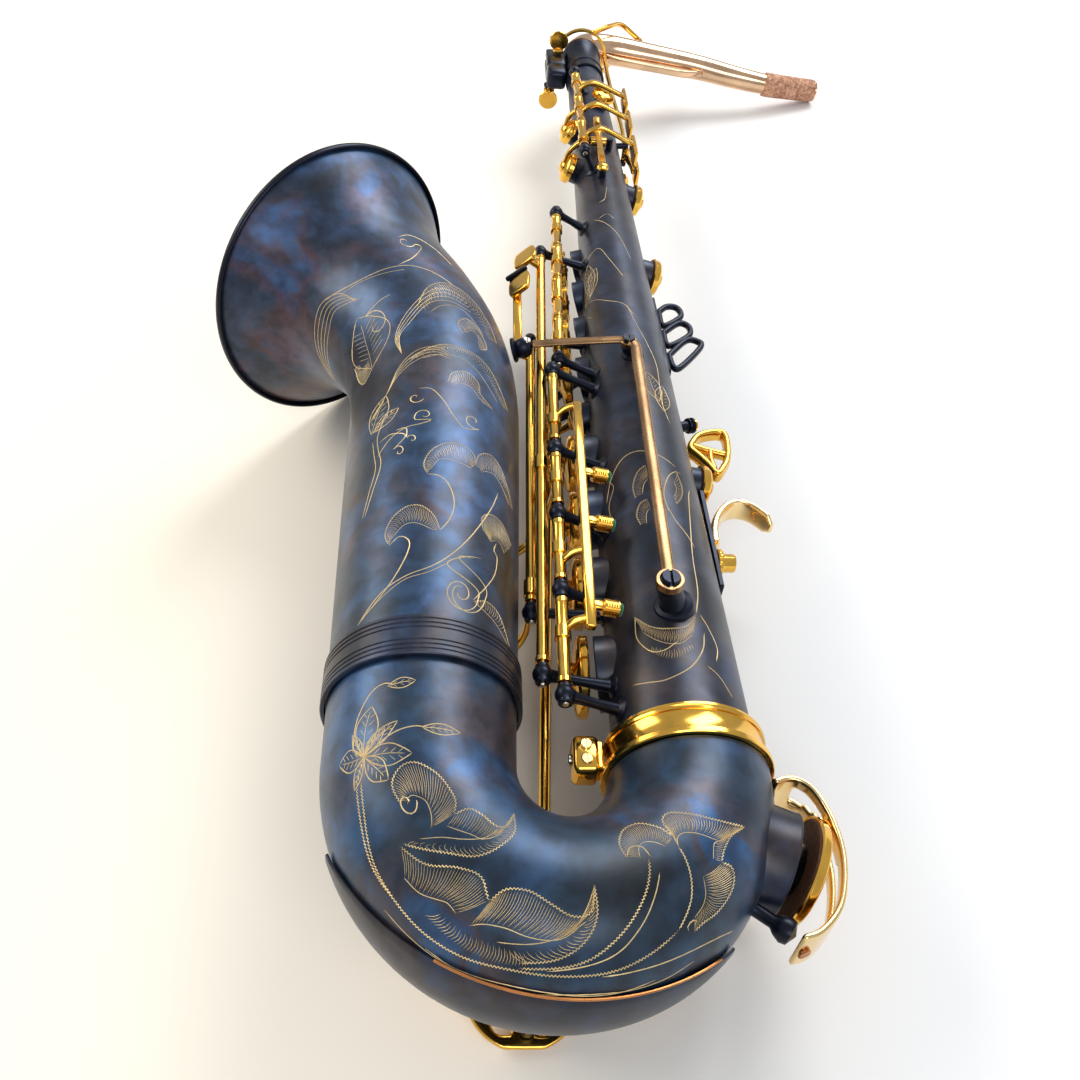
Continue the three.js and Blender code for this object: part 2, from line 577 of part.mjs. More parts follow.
// Keys on the back of the body, with touches for the side of the right hand.
const back = RODS.back;
const sideTouch = (y) => {
  const root = rodPoint(back, y);
  return [bar(root, root.clone().add(v(9, 0, -6)), 6, 2.6, v(0, 0, 1)),
    bar(root.clone().add(v(10, -9, -6)), root.clone().add(v(10, 9, -6)), 8, 3, v(0.6, 0, -0.8))];
};
key("side_f_sharp_key", { line: back, from: 129, to: 190, hole: HOLES.sideFSharp, stands: "shut", swing: 10,
  parts: sideTouch(142) });
key("side_b_flat_key", { line: back, from: 191, to: 384, hole: HOLES.sideBFlat, stands: "shut", swing: 10,
  parts: sideTouch(200) });
const sideCReach = (offset) => bar(
  rodPoint(back, 276).add(offset),
  rodPoint(back, 392).add(offset),
  4,
  3,
  v(0, 0, 1),
);
key("side_c_key", { line: back, from: 385, to: 480, hole: HOLES.sideC, stands: "shut", swing: 10,
  parts: [sideCReach(v(-5, 0, -7)), bar(rodPoint(back, 389), rodPoint(back, 389).add(v(-5, 0, -7)), 5, 3),
    bar(rodPoint(back, 268).add(v(-5, 0, -7)), rodPoint(back, 286).add(v(-5, 0, -7)), 9, 3.6)] });
key("high_e_key", { line: back, from: 481, to: 535, hole: HOLES.highE, stands: "shut", swing: 10,
  parts: sideTouch(500) });

// Palm keys: the touch comes over the top of the body to the player's side.
const palm = RODS.palm;
const palmTouch = (y) => {
  const root = rodPoint(palm, y);
  return [bars([root, root.clone().add(v(14, 0, 6)), v(19, y, 27)], 5, 2.8, v(0, 0, 1)),
    bar(v(21, y - 13, 22), v(21, y + 13, 22), 3.2, 11, v(0, 0, 1))];
};
key("palm_d_key", { line: palm, from: 471, to: 507, hole: HOLES.palmD, stands: "shut", swing: 9,
  parts: palmTouch(486) });
key("palm_e_flat_key", { line: palm, from: 508, to: 546, hole: HOLES.palmEFlat, stands: "shut", swing: 9,
  parts: palmTouch(524) });
key("palm_f_key", { line: palm, from: 547, to: 585, hole: HOLES.palmF, stands: "shut", swing: 9,
  parts: palmTouch(560) });

// Low keys: the cups of the bell and the bow, on the lower side, and the little fingers' touches.
const plate = (centre, width, length, thickness, normal) => bar(
  centre.clone().add(v(0, -length / 2, 0)),
  centre.clone().add(v(0, length / 2, 0)),
  width,
  thickness,
  normal,
);
const offsetReach = (line, offset, from, to) => [
  bar(rodPoint(line, from).add(offset), rodPoint(line, to).add(offset), 4.4, 3, v(0, 0, 1)),
];
const leftTable = v(-0.6, 0, 0.8);
key("low_b_key", { line: RODS.lowB, from: 48, to: 356, hole: HOLES.lowB, stands: "open", swing: 7, arm: 8,
  elbows: [v(-46.5, 170, 0), v(-58, 170, -38), v(-80, 170, -54)],
  parts: [bar(rodPoint(RODS.lowB, 347), rodPoint(RODS.lowB, 347).add(v(-9, 0, 7)), 6, 3, v(1, 0, 1)),
    plate(rodPoint(RODS.lowB, 346).add(v(-9, 0, 7)), 16, 15, 3, leftTable)] });
key("low_b_flat_key", { line: RODS.lowBFlat, from: 92, to: 282, hole: HOLES.lowBFlat, stands: "open", swing: 7,
  arm: 8, elbows: [v(-64, 100, -34), v(-82, 100, -54)],
  parts: [bar(rodPoint(RODS.lowBFlat, 274), rodPoint(RODS.lowBFlat, 274).add(v(-7, 0, 3)), 5, 3, v(0, 0, 1)),
    bar(v(-61, 272, 3.5), v(-60, 322, 14), 5, 3, v(0, 0, 1)),
    plate(v(-58.6, 322, 17), 15, 18, 3, leftTable)] });
key("low_c_sharp_key", { line: RODS.lowCSharp, from: -53, to: 280, hole: HOLES.lowCSharp, stands: "shut",
  swing: 9, arm: 8 });
key("low_c_key", { line: RODS.bowKeys, from: -23.4, to: 19, hole: HOLES.lowC, stands: "open", swing: 7, arm: 8,
  elbows: [v(37, -24, -36)],
  parts: [...offsetReach(RODS.bowKeys, v(8, 0, -2), 4, 56),
    bar(rodPoint(RODS.bowKeys, 6), rodPoint(RODS.bowKeys, 6).add(v(9, 0, -2)), 5, 3, v(0, 0, 1)),
    plate(v(20, 52, -49), 16, 18, 3, v(0.2, 0, -1))] });
key("low_e_flat_key", { line: RODS.bowKeys, from: -43.6, to: -24, hole: HOLES.lowEFlat, stands: "shut",
  swing: 9, arm: 8,
  parts: [...offsetReach(RODS.bowKeys, v(-8, 0, -3), -42, 82),
    bar(rodPoint(RODS.bowKeys, -40), rodPoint(RODS.bowKeys, -40).add(v(-9, 0, -3)), 5, 3, v(0, 0, 1)),
    plate(v(7, 78, -51.5), 18, 16, 3, v(0, 0, 1))] });
key("g_sharp_key", { line: RODS.gSharp, from: 222, to: 246, hole: HOLES.gSharp, stands: "shut", swing: 9 });

// ---------------------------------------------------------------- octave mechanism on the body
function lever(name, { from, to, axis, swing, solids, bore }) {
  const group = pivot(saxophone, { point: from, axis }, [0, swing]);
  addMesh(group, name, cut(join(solids), [rod(from, to, bore)]), GOLD, from);
}
const rockerCentre = rocker.from.clone().lerp(rocker.to, 0.5);
lever("octave_rocker", { ...rocker, axis: v(-1, 0, 0), swing: 5, bore: 1.4, solids: [
  rod(v(-7.6, 497, 21), v(2.6, 497, 21), 2.8),
  bars(
    [rockerCentre.clone().add(v(0, 26, 5)), rockerCentre.clone().add(v(0, 0, 2.6)), v(-3, 450, 25.2)],
    4.4,
    2.4,
    v(0, 0, 1),
  ),
  rod(v(-3, 455, 23), v(-3, 455, 25.5), 4, 8),
] });
lever("thumb_octave_lever", { ...thumbLine, axis: v(0, 0, -1), swing: 3, bore: 1.4, solids: [
  rod(v(22.1, 524, -4.4), v(22.1, 524, 4.4), 2.8),
  bars([v(21, 522, 0), v(22.5, 570, 0), v(20.5, 612, 0), v(19.2, 686, 0)], 3, 6, v(0, 0, 1)),
  bar(v(25, 500, 0), v(21, 524, 0), 3, 5, v(0, 0, 1)),
  plate(v(27, 496, 0), 3, 16, 13, v(0, 0, 1)),
] });
fixed("thumb_rest", rod(v(17.7, 492, -12), v(22, 492, -15), 7, 12), BLACK);

// ---------------------------------------------------------------- braces, rings, hook and guards
const bellPost = v(-60.5, 254.6, 20);
fixed("brace_bell_post", join([ball(bellPost, 5.6, 10), rod(v(-64.4, 254.6, 18.6), bellPost, 3.4),
  rod(v(-65.6, 254.6, 18.2), v(-64, 254.6, 18.8), 6.6, 10)]), BLACK);
fixed("bell_brace", join([
  bars([v(-54.2, 254.4, 23.6), v(-8, 251, 31.6), v(-2.5, 243, 32.2), v(-6.7, 66, 42)], 7, 2, v(0, 0, 1)),
]), ROSE_GOLD);
fixed("brace_lower_screw", join([rod(v(-6.7, 69.2, 43.4), v(-6.7, 69.2, 45.6), 5, 12)]), BLACK);

const slab = (shape, depth, z) => {
  const geometry = new THREE.ExtrudeGeometry(shape, { depth, bevelEnabled: false, curveSegments: 5 });
  geometry.translate(0, 0, z);
  return solidOf(geometry);
};
const outline = (points) => new THREE.Shape(points.map(([x, y]) => new THREE.Vector2(x, y)));
const STRAP_LOOPS = [
  [[24, 336], [31, 342.6], [37.5, 342.9], [41.4, 338], [41.4, 333], [38, 327], [27, 316], [24, 316]],
  [[24, 316], [37, 326.6], [43, 324], [45.4, 317], [44, 311], [28, 294], [25, 294]],
  [[25.6, 296], [40.3, 309.6], [47, 310], [50, 303.5], [49, 296.6], [27.8, 270], [25.2, 270]],
];
const STRAP_WINDOWS = [
  [[28, 333.6], [32, 338.2], [36.4, 338.4], [38, 334], [36.6, 329.6], [28.2, 321.6]],
  [[28.4, 312.6], [36.6, 321.2], [41, 320.2], [41.6, 315], [39, 310.6], [29.2, 301.4]],
  [[29.2, 291], [39, 304], [44.8, 304.6], [46, 299.4], [34, 282], [29.8, 281]],
];
fixed("strap_ring", cut(
  join([
    slab(outline([[23, 270], [27.8, 270], [26.2, 344], [21, 344]]), 9, -9.5),
    ...STRAP_LOOPS.map((loop) => slab(outline(loop), 3.8, -6.9)),
  ]),
  [...STRAP_WINDOWS.map((hole) => slab(outline(hole), 12, -11)),
    rod(v(0, 260, 0), v(0, 360, 0), 23.7, 20, 21.2)],
), BLACK);

fixed("thumb_hook_plate", bar(v(28.9, 104, -5), v(28, 168, -5), 2.6, 17, v(0, 0, 1)), BLACK);
fixed("thumb_hook", slab(outline([[30.4, 137], [30.4, 149], [31.8, 155], [35.4, 162], [41.4, 167], [48, 169],
  [55.2, 167], [61, 161], [64.4, 154.4], [62.2, 152], [57.4, 158.4], [52.6, 162.6], [48, 163.8],
  [42.8, 161.8], [38.4, 156.6], [35.6, 149], [34.2, 137]]), 13, -13.5), GOLD);
const hookScrew = v(30.7, 126, -5);
addMesh(
  pivot(saxophone, { point: hookScrew, axis: v(1, 0, 0) }, "turns"),
  "thumb_hook_screw",
  join([rod(hookScrew, hookScrew.clone().add(v(3.2, 0, 0)), 6.2, 12),
    rod(hookScrew.clone().add(v(2.2, 0, 0)), hookScrew.clone().add(v(9.2, 0, 0)), 4.4, 12)]),
  GOLD,
  hookScrew,
);
fixed("side_key_guard", cut(
  slab(outline([[29.6, 216.6], [35, 224.4], [45.5, 228.2], [52.2, 227.6], [52.4, 216], [50.8, 203],
    [47, 195], [42.3, 191], [37.6, 198], [33, 206.5], [29.6, 211.8]]), 13, -16),
  [slab(outline([[41, 222], [48.4, 223.2], [48.4, 213.2], [46.8, 212]]), 15, -17),
    slab(outline([[41.4, 208.4], [47.4, 206.4], [46.2, 198], [43, 195.4]]), 15, -17),
    slab(outline([[33.2, 214.6], [37.6, 213], [39.6, 203.4], [38, 203.4]]), 15, -17)],
), GOLD);
fixed("side_guard_post", join([rod(v(24, 229.6, -8.5), v(33.4, 233.2, -9.6), 3, 8),
  rod(v(31.6, 232.5, -9.4), v(36.4, 234.4, -9.9), 4.2, 10)]), BLACK);

fixed("low_c_guard", cut(
  slab(outline([[34, 1], [44, 1.2], [50.5, -5], [54.5, -18], [55, -34], [50, -52], [40, -63], [31.4, -66.4],
    [32, -63.8], [39, -60.8], [47.8, -51], [52.5, -33.6], [52, -18.6], [48.4, -6.4], [43, -1.4], [36.4, -1.4],
    [36.4, -6], [34, -6]]), 22, -15),
  [slab(outline([[38, -56], [46, -42], [60, -42], [56, -70]]), 14, -11),
    slab(outline([[48, -36], [60, -36], [60, -9], [46, -9]]), 14, -11)],
), GOLD);
fixed("bow_key_guard", cut(
  join([bar(v(-61, -77, -64), v(-61, -50, -64), 44, 2.4, v(0, 0, 1)),
    rod(v(-60, -71, -63), v(-60, -71, -65.8), 3.4)]),
  [-74, -47].map((x) => bar(v(x, -72, -64), v(x, -55, -64), 11, 6, v(0, 0, 1))),
), GOLD);

// A plate that shields the outside of the bend, spread over `PLATE_SPREAD` of its section.
const PLATE_SPAN = [0.27, 0.87];
const PLATE_SPREAD = [-24, 24].map(THREE.MathUtils.degToRad);
function bendPlate() {
  const geometry = new THREE.BoxGeometry(1, 1, 1, 4, 10, 1);
  const position = geometry.attributes.position;
  for (let i = 0; i < position.count; i += 1) {
    const share = THREE.MathUtils.lerp(...PLATE_SPAN, position.getY(i) + 0.5) * BOW_SHARE;
    const angle = THREE.MathUtils.lerp(...PLATE_SPREAD, position.getX(i) + 0.5);
    const { point, tangent } = bowPlace(share);
    const outward = v(-tangent.y, tangent.x, 0).normalize();
    const height = bowRadius(share) + 1.3 + position.getZ(i);
    point.addScaledVector(outward, height * Math.cos(angle)).add(v(0, 0, height * Math.sin(angle)));
    position.setXYZ(i, point.x, point.y, point.z);
  }
  return solidOf(geometry);
}
fixed("bow_plate", bendPlate(), LACQUER);

// ---------------------------------------------------------------- standing place
saxophone.rotation.y = LYING_TILT;
saxophone.updateMatrixWorld(true);
const extent = new THREE.Box3().setFromObject(saxophone, true);
const middle = extent.getCenter(new THREE.Vector3());
saxophone.position.set(-middle.x, -middle.y, -extent.min.z);

export default saxophone;
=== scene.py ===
"""A tenor saxophone in dark engraved lacquer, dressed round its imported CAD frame.

Shapes are worked out in the instrument's own frame, in millimetres: the body tube runs along +Y
from the bow to the neck, the bell is at -X and the left-hand side is +Z. `in_row` turns them into
the row frame, in metres.
"""
import json
import math

import bmesh
import bpy
from mathutils import Matrix, Vector


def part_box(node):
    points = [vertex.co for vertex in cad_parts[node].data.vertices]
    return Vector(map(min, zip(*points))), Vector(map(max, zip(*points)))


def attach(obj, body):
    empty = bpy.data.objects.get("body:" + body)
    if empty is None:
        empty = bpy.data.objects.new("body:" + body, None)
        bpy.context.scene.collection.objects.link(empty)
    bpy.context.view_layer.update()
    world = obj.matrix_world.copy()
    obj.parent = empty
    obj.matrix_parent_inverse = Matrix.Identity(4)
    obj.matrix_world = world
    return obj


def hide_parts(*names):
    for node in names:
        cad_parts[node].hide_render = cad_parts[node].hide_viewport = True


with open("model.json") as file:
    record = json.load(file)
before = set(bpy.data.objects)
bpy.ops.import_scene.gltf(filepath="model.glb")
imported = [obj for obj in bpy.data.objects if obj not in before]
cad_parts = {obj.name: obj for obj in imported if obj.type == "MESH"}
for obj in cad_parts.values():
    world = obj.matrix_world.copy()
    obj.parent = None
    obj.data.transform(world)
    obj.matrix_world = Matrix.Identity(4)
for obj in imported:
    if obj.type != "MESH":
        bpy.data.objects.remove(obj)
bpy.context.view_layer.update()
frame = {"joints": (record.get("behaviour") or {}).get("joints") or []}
JOINTS = {joint["child"]: joint for joint in frame["joints"]}

# ---------------------------------------------------------------- driving dimensions
LYING_TILT = math.radians(9)
BODY_FOOT, BODY_TOP = 0.7, 640
BODY_RADIUS, BODY_TAPER = 29.2, 0.0245
BELL_X, BELL_Z = -105.3, 3.7
BOW_TOP, BOW_DEPTH, BOW_LEG_TOP, BOW_SHARE = 1.4, 58.6, 28.2, 0.88
BOW_RADII = [32.2, 35.9, 37.8]
BELL_BOTTOM, BELL_STRAIGHT, BELL_LENGTH = 28.7, 200, 420
BELL_FLARE = [38.2, 39.2, 40.1, 41, 41.8, 42.5, 43.3, 44.8, 48, 55.5, 78.6]
RIM_CENTRE = Vector((-167.6, 341.7, -3.1))
RIM_YAW, RIM_PITCH = 0.751, -0.081
RIM_RADIUS = 78.6
NECK_YAW = math.radians(5.04)
WALL = 0.9
CHIMNEY, LOW_CHIMNEY = 4.2, 6  # on the body; on the bow and the bell
PAD_LIFT = 0.45
RING_LOW = 1.8  # lower edge of the ring between body and bow
FINE = 96  # sides of a big tube
SHARP = math.radians(38)  # a steeper edge is drawn sharp
HATCH = 1.35  # how much denser than counted a fan is hatched
UP, ALONG = Vector((0, 0, 1)), Vector((0, 1, 0))
NECK_UP = Vector((0, 1, 0.001))  # leans a little, so that no bar of the neck runs along it

TURN = Matrix.Rotation(LYING_TILT, 3, "Y")
ring_low, ring_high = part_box("body_bow_ring")
ORIGIN = Vector((
    (ring_low.x + ring_high.x) / 2,
    ring_low.y - RING_LOW / 1000,
    (ring_low.z + ring_high.z) / 2,
))


def in_row(point):
    return ORIGIN + TURN @ (point / 1000)


def v(x, y, z):
    return Vector((x, y, z))


def polar(radius, degrees, y=0.0):
    angle = math.radians(degrees)
    return v(radius * math.cos(angle), y, radius * math.sin(angle))


def mix(values, t):
    """Smooth curve through evenly spaced values."""
    at = min(max(t, 0), 1) * (len(values) - 1)
    i = min(int(at), len(values) - 2)
    s = at - i
    a, b = values[i], values[i + 1]
    before = values[i - 1] if i > 0 else 2 * a - b
    after = values[i + 2] if i + 2 < len(values) else 2 * b - a
    return a + 0.5 * s * (b - before + s * (2 * before - 5 * a + 4 * b - after
                                            + s * (3 * (a - b) + after - before)))


def basis_along(direction, up=UP):
    y = direction.normalized()
    x = y.cross(up)
    if x.length < 1e-3:
        x = y.cross(Vector((1, 0, 0)))
    x.normalize()
    return x, y, x.cross(y)


# ---------------------------------------------------------------- mesh makers
# Each returns (vertices in millimetres, faces).
def loft(rings, cyclic=False, capped=True):
    """Joins rings of equal size into a tube."""
    sides = len(rings[0])
    verts = [point for ring in rings for point in ring]
    faces = []
    spans = len(rings) if cyclic else len(rings) - 1
    for i in range(spans):
        a, b = i * sides, (i + 1) % len(rings) * sides
        for j in range(sides):
            k = (j + 1) % sides
            faces.append((a + j, a + k, b + k, b + j))
    if capped and not cyclic:
        faces.append(tuple(reversed(range(sides))))
        faces.append(tuple(range(len(verts) - sides, len(verts))))
    return verts, faces


def smooth(points, steps=6):
    """A Catmull-Rom curve through the points."""
    points = [Vector(point) for point in points]
    if len(points) < 3:
        return points
    ends = [2 * points[0] - points[1], *points, 2 * points[-1] - points[-2]]
    out = []
    for i in range(1, len(ends) - 2):
        p0, p1, p2, p3 = ends[i - 1:i + 3]
        for j in range(steps):
            s = j / steps
            out.append(0.5 * (2 * p1 + s * (p2 - p0) + s * s * (2 * p0 - 5 * p1 + 4 * p2 - p3)
                              + s ** 3 * (3 * (p1 - p2) + p3 - p0)))
    out.append(points[-1])
    return out


def section(sides, power):
    """A unit circle, or a rounded square where power is over 2."""
    points = []
    for i in range(sides):
        angle = 2 * math.pi * (i + 0.5) / sides
        c, s = math.cos(angle), math.sin(angle)
        points.append((math.copysign(abs(c) ** (2 / power), c), math.copysign(abs(s) ** (2 / power), s)))
    return points


def sweep(points, width, thickness=None, sides=14, power=2, up=UP, closed=False):
    """A bar of half sizes `width` and `thickness` along the points, with rounded ends. Sizes may be
    functions of the share of the way along."""
    thickness = thickness if thickness is not None else width
    sized = [size if callable(size) else (lambda t, size=size: size) for size in (width, thickness)]
    shape = section(sides, power)
    last = len(points) - 1
    rings = []

    def ring(centre, frame_of, share, scale):
        x, _, z = frame_of
        w, h = (size(share) * scale for size in sized)
        return [centre + x * (a * w) + z * (b * h) for a, b in shape]

    for i, point in enumerate(points):
        if closed:
            tangent = points[(i + 1) % len(points)] - points[i - 1]
        else:
            tangent = points[min(i + 1, last)] - points[max(i - 1, 0)]
        rings.append(ring(point, basis_along(tangent, up), i / last, 1))
    if closed:
        return loft(rings, cyclic=True)
    for end, other in ((0, 1), (last, last - 1)):
        outward = (points[end] - points[other]).normalized()
        bulge = min(size(end / last) for size in sized) * 0.45
        axes = basis_along(points[min(end + 1, last)] - points[max(end - 1, 0)], up)
        caps = [ring(points[end] + outward * bulge * lift, axes, end / last, scale)
                for lift, scale in ((0.6, 0.86), (1, 0.6))]
        rings = [*reversed(caps), *rings] if end == 0 else [*rings, *caps]
    return loft(rings)


def lathe(profile, origin, axis, sides=32, up=UP):
    """(radius, height) pairs turned about the axis; it closes on itself or on the axis."""
    x, y, z = basis_along(axis, up)
    verts, rows = [], []
    closed = profile[0] == profile[-1]
    for radius, height in profile[:-1] if closed else profile:
        centre = origin + y * height
        if radius < 1e-6:
            rows.append([len(verts)])
            verts.append(centre)
            continue
        rows.append(list(range(len(verts), len(verts) + sides)))
        for j in range(sides):
            angle = 2 * math.pi * j / sides
            verts.append(centre + x * (radius * math.cos(angle)) + z * (radius * math.sin(angle)))
    faces = []
    pairs = list(zip(rows, rows[1:])) + ([(rows[-1], rows[0])] if closed else [])
    for low, high in pairs:
        for j in range(sides):
            k = (j + 1) % sides
            corners = [low[j % len(low)], low[k % len(low)], high[k % len(high)], high[j % len(high)]]
            face = tuple(dict.fromkeys(corners))
            if len(face) > 2:
                faces.append(face)
    return verts, faces


def round_profile(radius, low, high, ease=0.35):
    """A cylinder's profile with eased edges."""
    return [(0, low), (radius - ease, low), (radius, low + ease), (radius, high - ease),
            (radius - ease, high), (0, high)]


def rod(start, end, radius, sides=20, ease=0.35):
    length = (end - start).length
    return lathe(round_profile(radius, 0, length, min(ease, radius / 2)), start, end - start, sides)


def collar(radius, inner, low, high, origin, axis, sides=32, ease=0.25):
    profile = [(inner, low), (radius - ease, low), (radius, low + ease), (radius, high - ease),
               (radius - ease, high), (inner, high), (inner, low)]
    return lathe(profile, origin, axis, sides)


def ball(centre, radius, sides=20, axis=UP):
    profile = [(radius * math.sin(math.pi * i / 10), -radius * math.cos(math.pi * i / 10))
               for i in range(11)]
    profile[0] = (0, -radius)
    profile[-1] = (0, radius)
    return lathe(profile, centre, axis, sides)


def screw_head(centre, axis, radius, height=1.2, slot=0.35):
    """A slotted head: two half discs, so that the slot between them is real."""
    x, y, z = basis_along(axis)
    verts, faces = [], []
    steps = 9
    for side in (1, -1):
        start = math.asin(slot / radius)
        outline = []
        for i in range(steps + 1):
            angle = start + (math.pi - 2 * start) * i / steps
            outline.append(x * (radius * math.cos(angle)) + z * (side * radius * math.sin(angle)))
        base = len(verts)
        for scale, lift in ((1, 0), (1, height * 0.7), (0.86, height)):
            verts += [centre + y * lift + point * scale for point in outline]
        count = len(outline)
        for ring in range(2):
            a, b = base + ring * count, base + (ring + 1) * count
            for j in range(count):
                k = (j + 1) % count
                face = (a + j, a + k, b + k, b + j)
                faces.append(face if side > 0 else face[::-1])
        faces.append(tuple(base + 2 * count + j for j in range(count)))
        faces.append(tuple(base + j for j in reversed(range(count))))
    floor_verts, floor_faces = lathe(round_profile(radius * 0.96, -0.2, height * 0.35, 0.1), centre, axis,
                                     18)
    shift = len(verts)
    return verts + floor_verts, faces + [tuple(i + shift for i in face) for face in floor_faces]


def strip(path, half, thickness, rows, skip=()):
    """Open-work sheet metal: `path` points with a width direction, quads in `skip` left out."""
    verts = []
    across = half.normalized()
    for point in path:
        for j in range(rows + 1):
            verts.append(point + across * (half.length * (2 * j / rows - 1)))
    faces = []
    for i in range(len(path) - 1):
        for j in range(rows):
            if (i, j) in skip:
                continue
            a = i * (rows + 1) + j
            faces.append((a, a + 1, a + rows + 2, a + rows + 1))
    return verts, faces, thickness


# ---------------------------------------------------------------- materials
def new_material(name, **values):
    """A Principled material with its even values set on the shader's own sockets."""
    material = bpy.data.materials.new(name)
    material.use_nodes = True
    shader = material.node_tree.nodes["Principled BSDF"]
    for socket, value in values.items():
        shader.inputs[socket.replace("_", " ")].default_value = value
    return material, material.node_tree, shader


def place_in(tree):
    """Where a point lies on its own piece."""
    return tree.nodes.new("ShaderNodeTexCoord").outputs["Object"]


def share_along(tree, axis, low, high):
    """How far a point lies between two places on an axis of its piece, in metres."""
    parts = tree.nodes.new("ShaderNodeSeparateXYZ")
    tree.links.new(place_in(tree), parts.inputs["Vector"])
    share = tree.nodes.new("ShaderNodeMapRange")
    share.inputs["From Min"].default_value = low
    share.inputs["From Max"].default_value = high
    tree.links.new(parts.outputs[axis], share.inputs["Value"])
    return share.outputs["Result"]


def noise(tree, scale, detail=3.0, distortion=0.0):
    texture = tree.nodes.new("ShaderNodeTexNoise")
    texture.inputs["Scale"].default_value = scale
    texture.inputs["Detail"].default_value = detail
    texture.inputs["Distortion"].default_value = distortion
    tree.links.new(place_in(tree), texture.inputs["Vector"])
    return texture.outputs["Fac"]


def ramp(tree, value, stops):
    node = tree.nodes.new("ShaderNodeValToRGB")
    elements = node.color_ramp.elements
    while len(elements) < len(stops):
        elements.new(0.5)
    for element, (place, color) in zip(elements, stops):
        element.position = place
        element.color = (*color, 1)
    tree.links.new(value, node.inputs["Fac"])
    return node.outputs["Color"]


def blend_colors(tree, factor, first, second, mode="MIX"):
    node = tree.nodes.new("ShaderNodeMix")
    node.data_type = "RGBA"
    node.blend_type = mode
    if isinstance(factor, float):
        node.inputs["Factor"].default_value = factor
    else:
        tree.links.new(factor, node.inputs["Factor"])
    tree.links.new(first, node.inputs["A"])
    tree.links.new(second, node.inputs["B"])
    return node.outputs["Result"]


def roughen(tree, shader, value, low, high):
    node = tree.nodes.new("ShaderNodeMapRange")
    node.inputs["To Min"].default_value = low
    node.inputs["To Max"].default_value = high
    tree.links.new(value, node.inputs["Value"])
    tree.links.new(node.outputs["Result"], shader.inputs["Roughness"])


def bump(tree, shader, value, strength, distance):
    node = tree.nodes.new("ShaderNodeBump")
    node.inputs["Strength"].default_value = strength
    node.inputs["Distance"].default_value = distance
    tree.links.new(value, node.inputs["Height"])
    tree.links.new(node.outputs["Normal"], shader.inputs["Normal"])


def make_lacquer(name, tones, metallic, shift):
    """Mottled lacquer; `shift` gives tints from the bow's end to the neck's end."""
    material, tree, shader = new_material(
        name, Metallic=metallic, Coat_Weight=0.2, Coat_Roughness=0.3, Specular_IOR_Level=0.5)
    dark, navy, blue, brown = tones
    clouds = ramp(tree, noise(tree, 14, 5, 0.5), [(0.33, dark), (0.42, navy), (0.5, blue), (0.56, navy),
                                                  (0.63, brown), (0.72, dark)])
    patches = ramp(tree, noise(tree, 26, 5, 0.5), [(0.38, dark), (0.47, navy), (0.58, brown), (0.66, blue)])
    veil = ramp(tree, noise(tree, 11, 3, 0.7), [(0.42, (0.15, 0.15, 0.15)), (0.58, (0.75, 0.75, 0.75))])
    color = blend_colors(tree, veil, clouds, patches)
    mottle = ramp(tree, noise(tree, 110, 6, 0.3), [(0.36, (0.55, 0.55, 0.55)), (0.5, (1, 1, 1)),
                                                   (0.64, (1.4, 1.4, 1.35))])
    color = blend_colors(tree, 0.75, color, mottle, "MULTIPLY")
    tints = ramp(tree, share_along(tree, "Y", -0.42, 0.42), shift)
    color = blend_colors(tree, 0.9, color, tints, "MULTIPLY")
    tree.links.new(color, shader.inputs["Base Color"])
    roughen(tree, shader, noise(tree, 60, 6, 0.3), 0.3, 0.5)
    bump(tree, shader, noise(tree, 900, 4), 0.12, 0.00012)
    return material


def make_metal(name, color, roughness, wear=0.75, grain=0.05, metallic=1.0):
    """Plated metal: a cast in the colour, haze in the roughness and a fine polish grain."""
    material, tree, shader = new_material(name, Metallic=metallic)
    shade = tuple(channel * wear for channel in color)
    tint = ramp(tree, noise(tree, 45, 4, 0.6), [(0.35, shade), (0.6, color)])
    tree.links.new(tint, shader.inputs["Base Color"])
    roughen(tree, shader, noise(tree, 120, 5, 0.4), roughness * 0.7, roughness * 1.5)
    bump(tree, shader, noise(tree, 1400, 3), grain, 0.00006)
    return material


def make_cork():
    material, tree, shader = new_material("cork", Roughness=0.85)
    cells = tree.nodes.new("ShaderNodeTexVoronoi")
    cells.inputs["Scale"].default_value = 620
    tree.links.new(place_in(tree), cells.inputs["Vector"])
    speck = ramp(tree, cells.outputs["Color"], [(0.15, (0.34, 0.16, 0.09)), (0.7, (0.62, 0.36, 0.24))])
    patches = ramp(tree, noise(tree, 260, 3), [(0.35, (0.7, 0.6, 0.55)), (0.6, (1.1, 1.05, 1))])
    tree.links.new(blend_colors(tree, 0.9, speck, patches, "MULTIPLY"), shader.inputs["Base Color"])
    bump(tree, shader, cells.outputs["Distance"], 0.3, 0.0002)
    return material


def make_soft(name, dark, light, scale, height, roughness, sheen=0.0):
    """Leather or felt: two tones of a fine noise with the same noise as bump."""
    material, tree, shader = new_material(name, Roughness=roughness, Sheen_Weight=sheen)
    grain = noise(tree, scale, 5, 0.3)
    tree.links.new(ramp(tree, grain, [(0.35, dark), (0.65, light)]), shader.inputs["Base Color"])
    bump(tree, shader, grain, 0.5, height)
    return material


def make_paper_with_painted_warm_light():
    """White paper with painted warm light: a cream tint painted warmest on the bell's side."""
    material, tree, shader = new_material("floor_paper_painted_warm_light", Roughness=0.75)
    # painted warm light: cream on the bell's side, fading to neutral white
    tint = ramp(tree, share_along(tree, "X", -0.3, 0.25),
                [(0, (0.93, 0.85, 0.72)), (0.45, (0.9, 0.86, 0.79)), (0.75, (0.86, 0.855, 0.85))])
    tree.links.new(tint, shader.inputs["Base Color"])
    bump(tree, shader, noise(tree, 300, 3), 0.1, 0.0001)
    return material


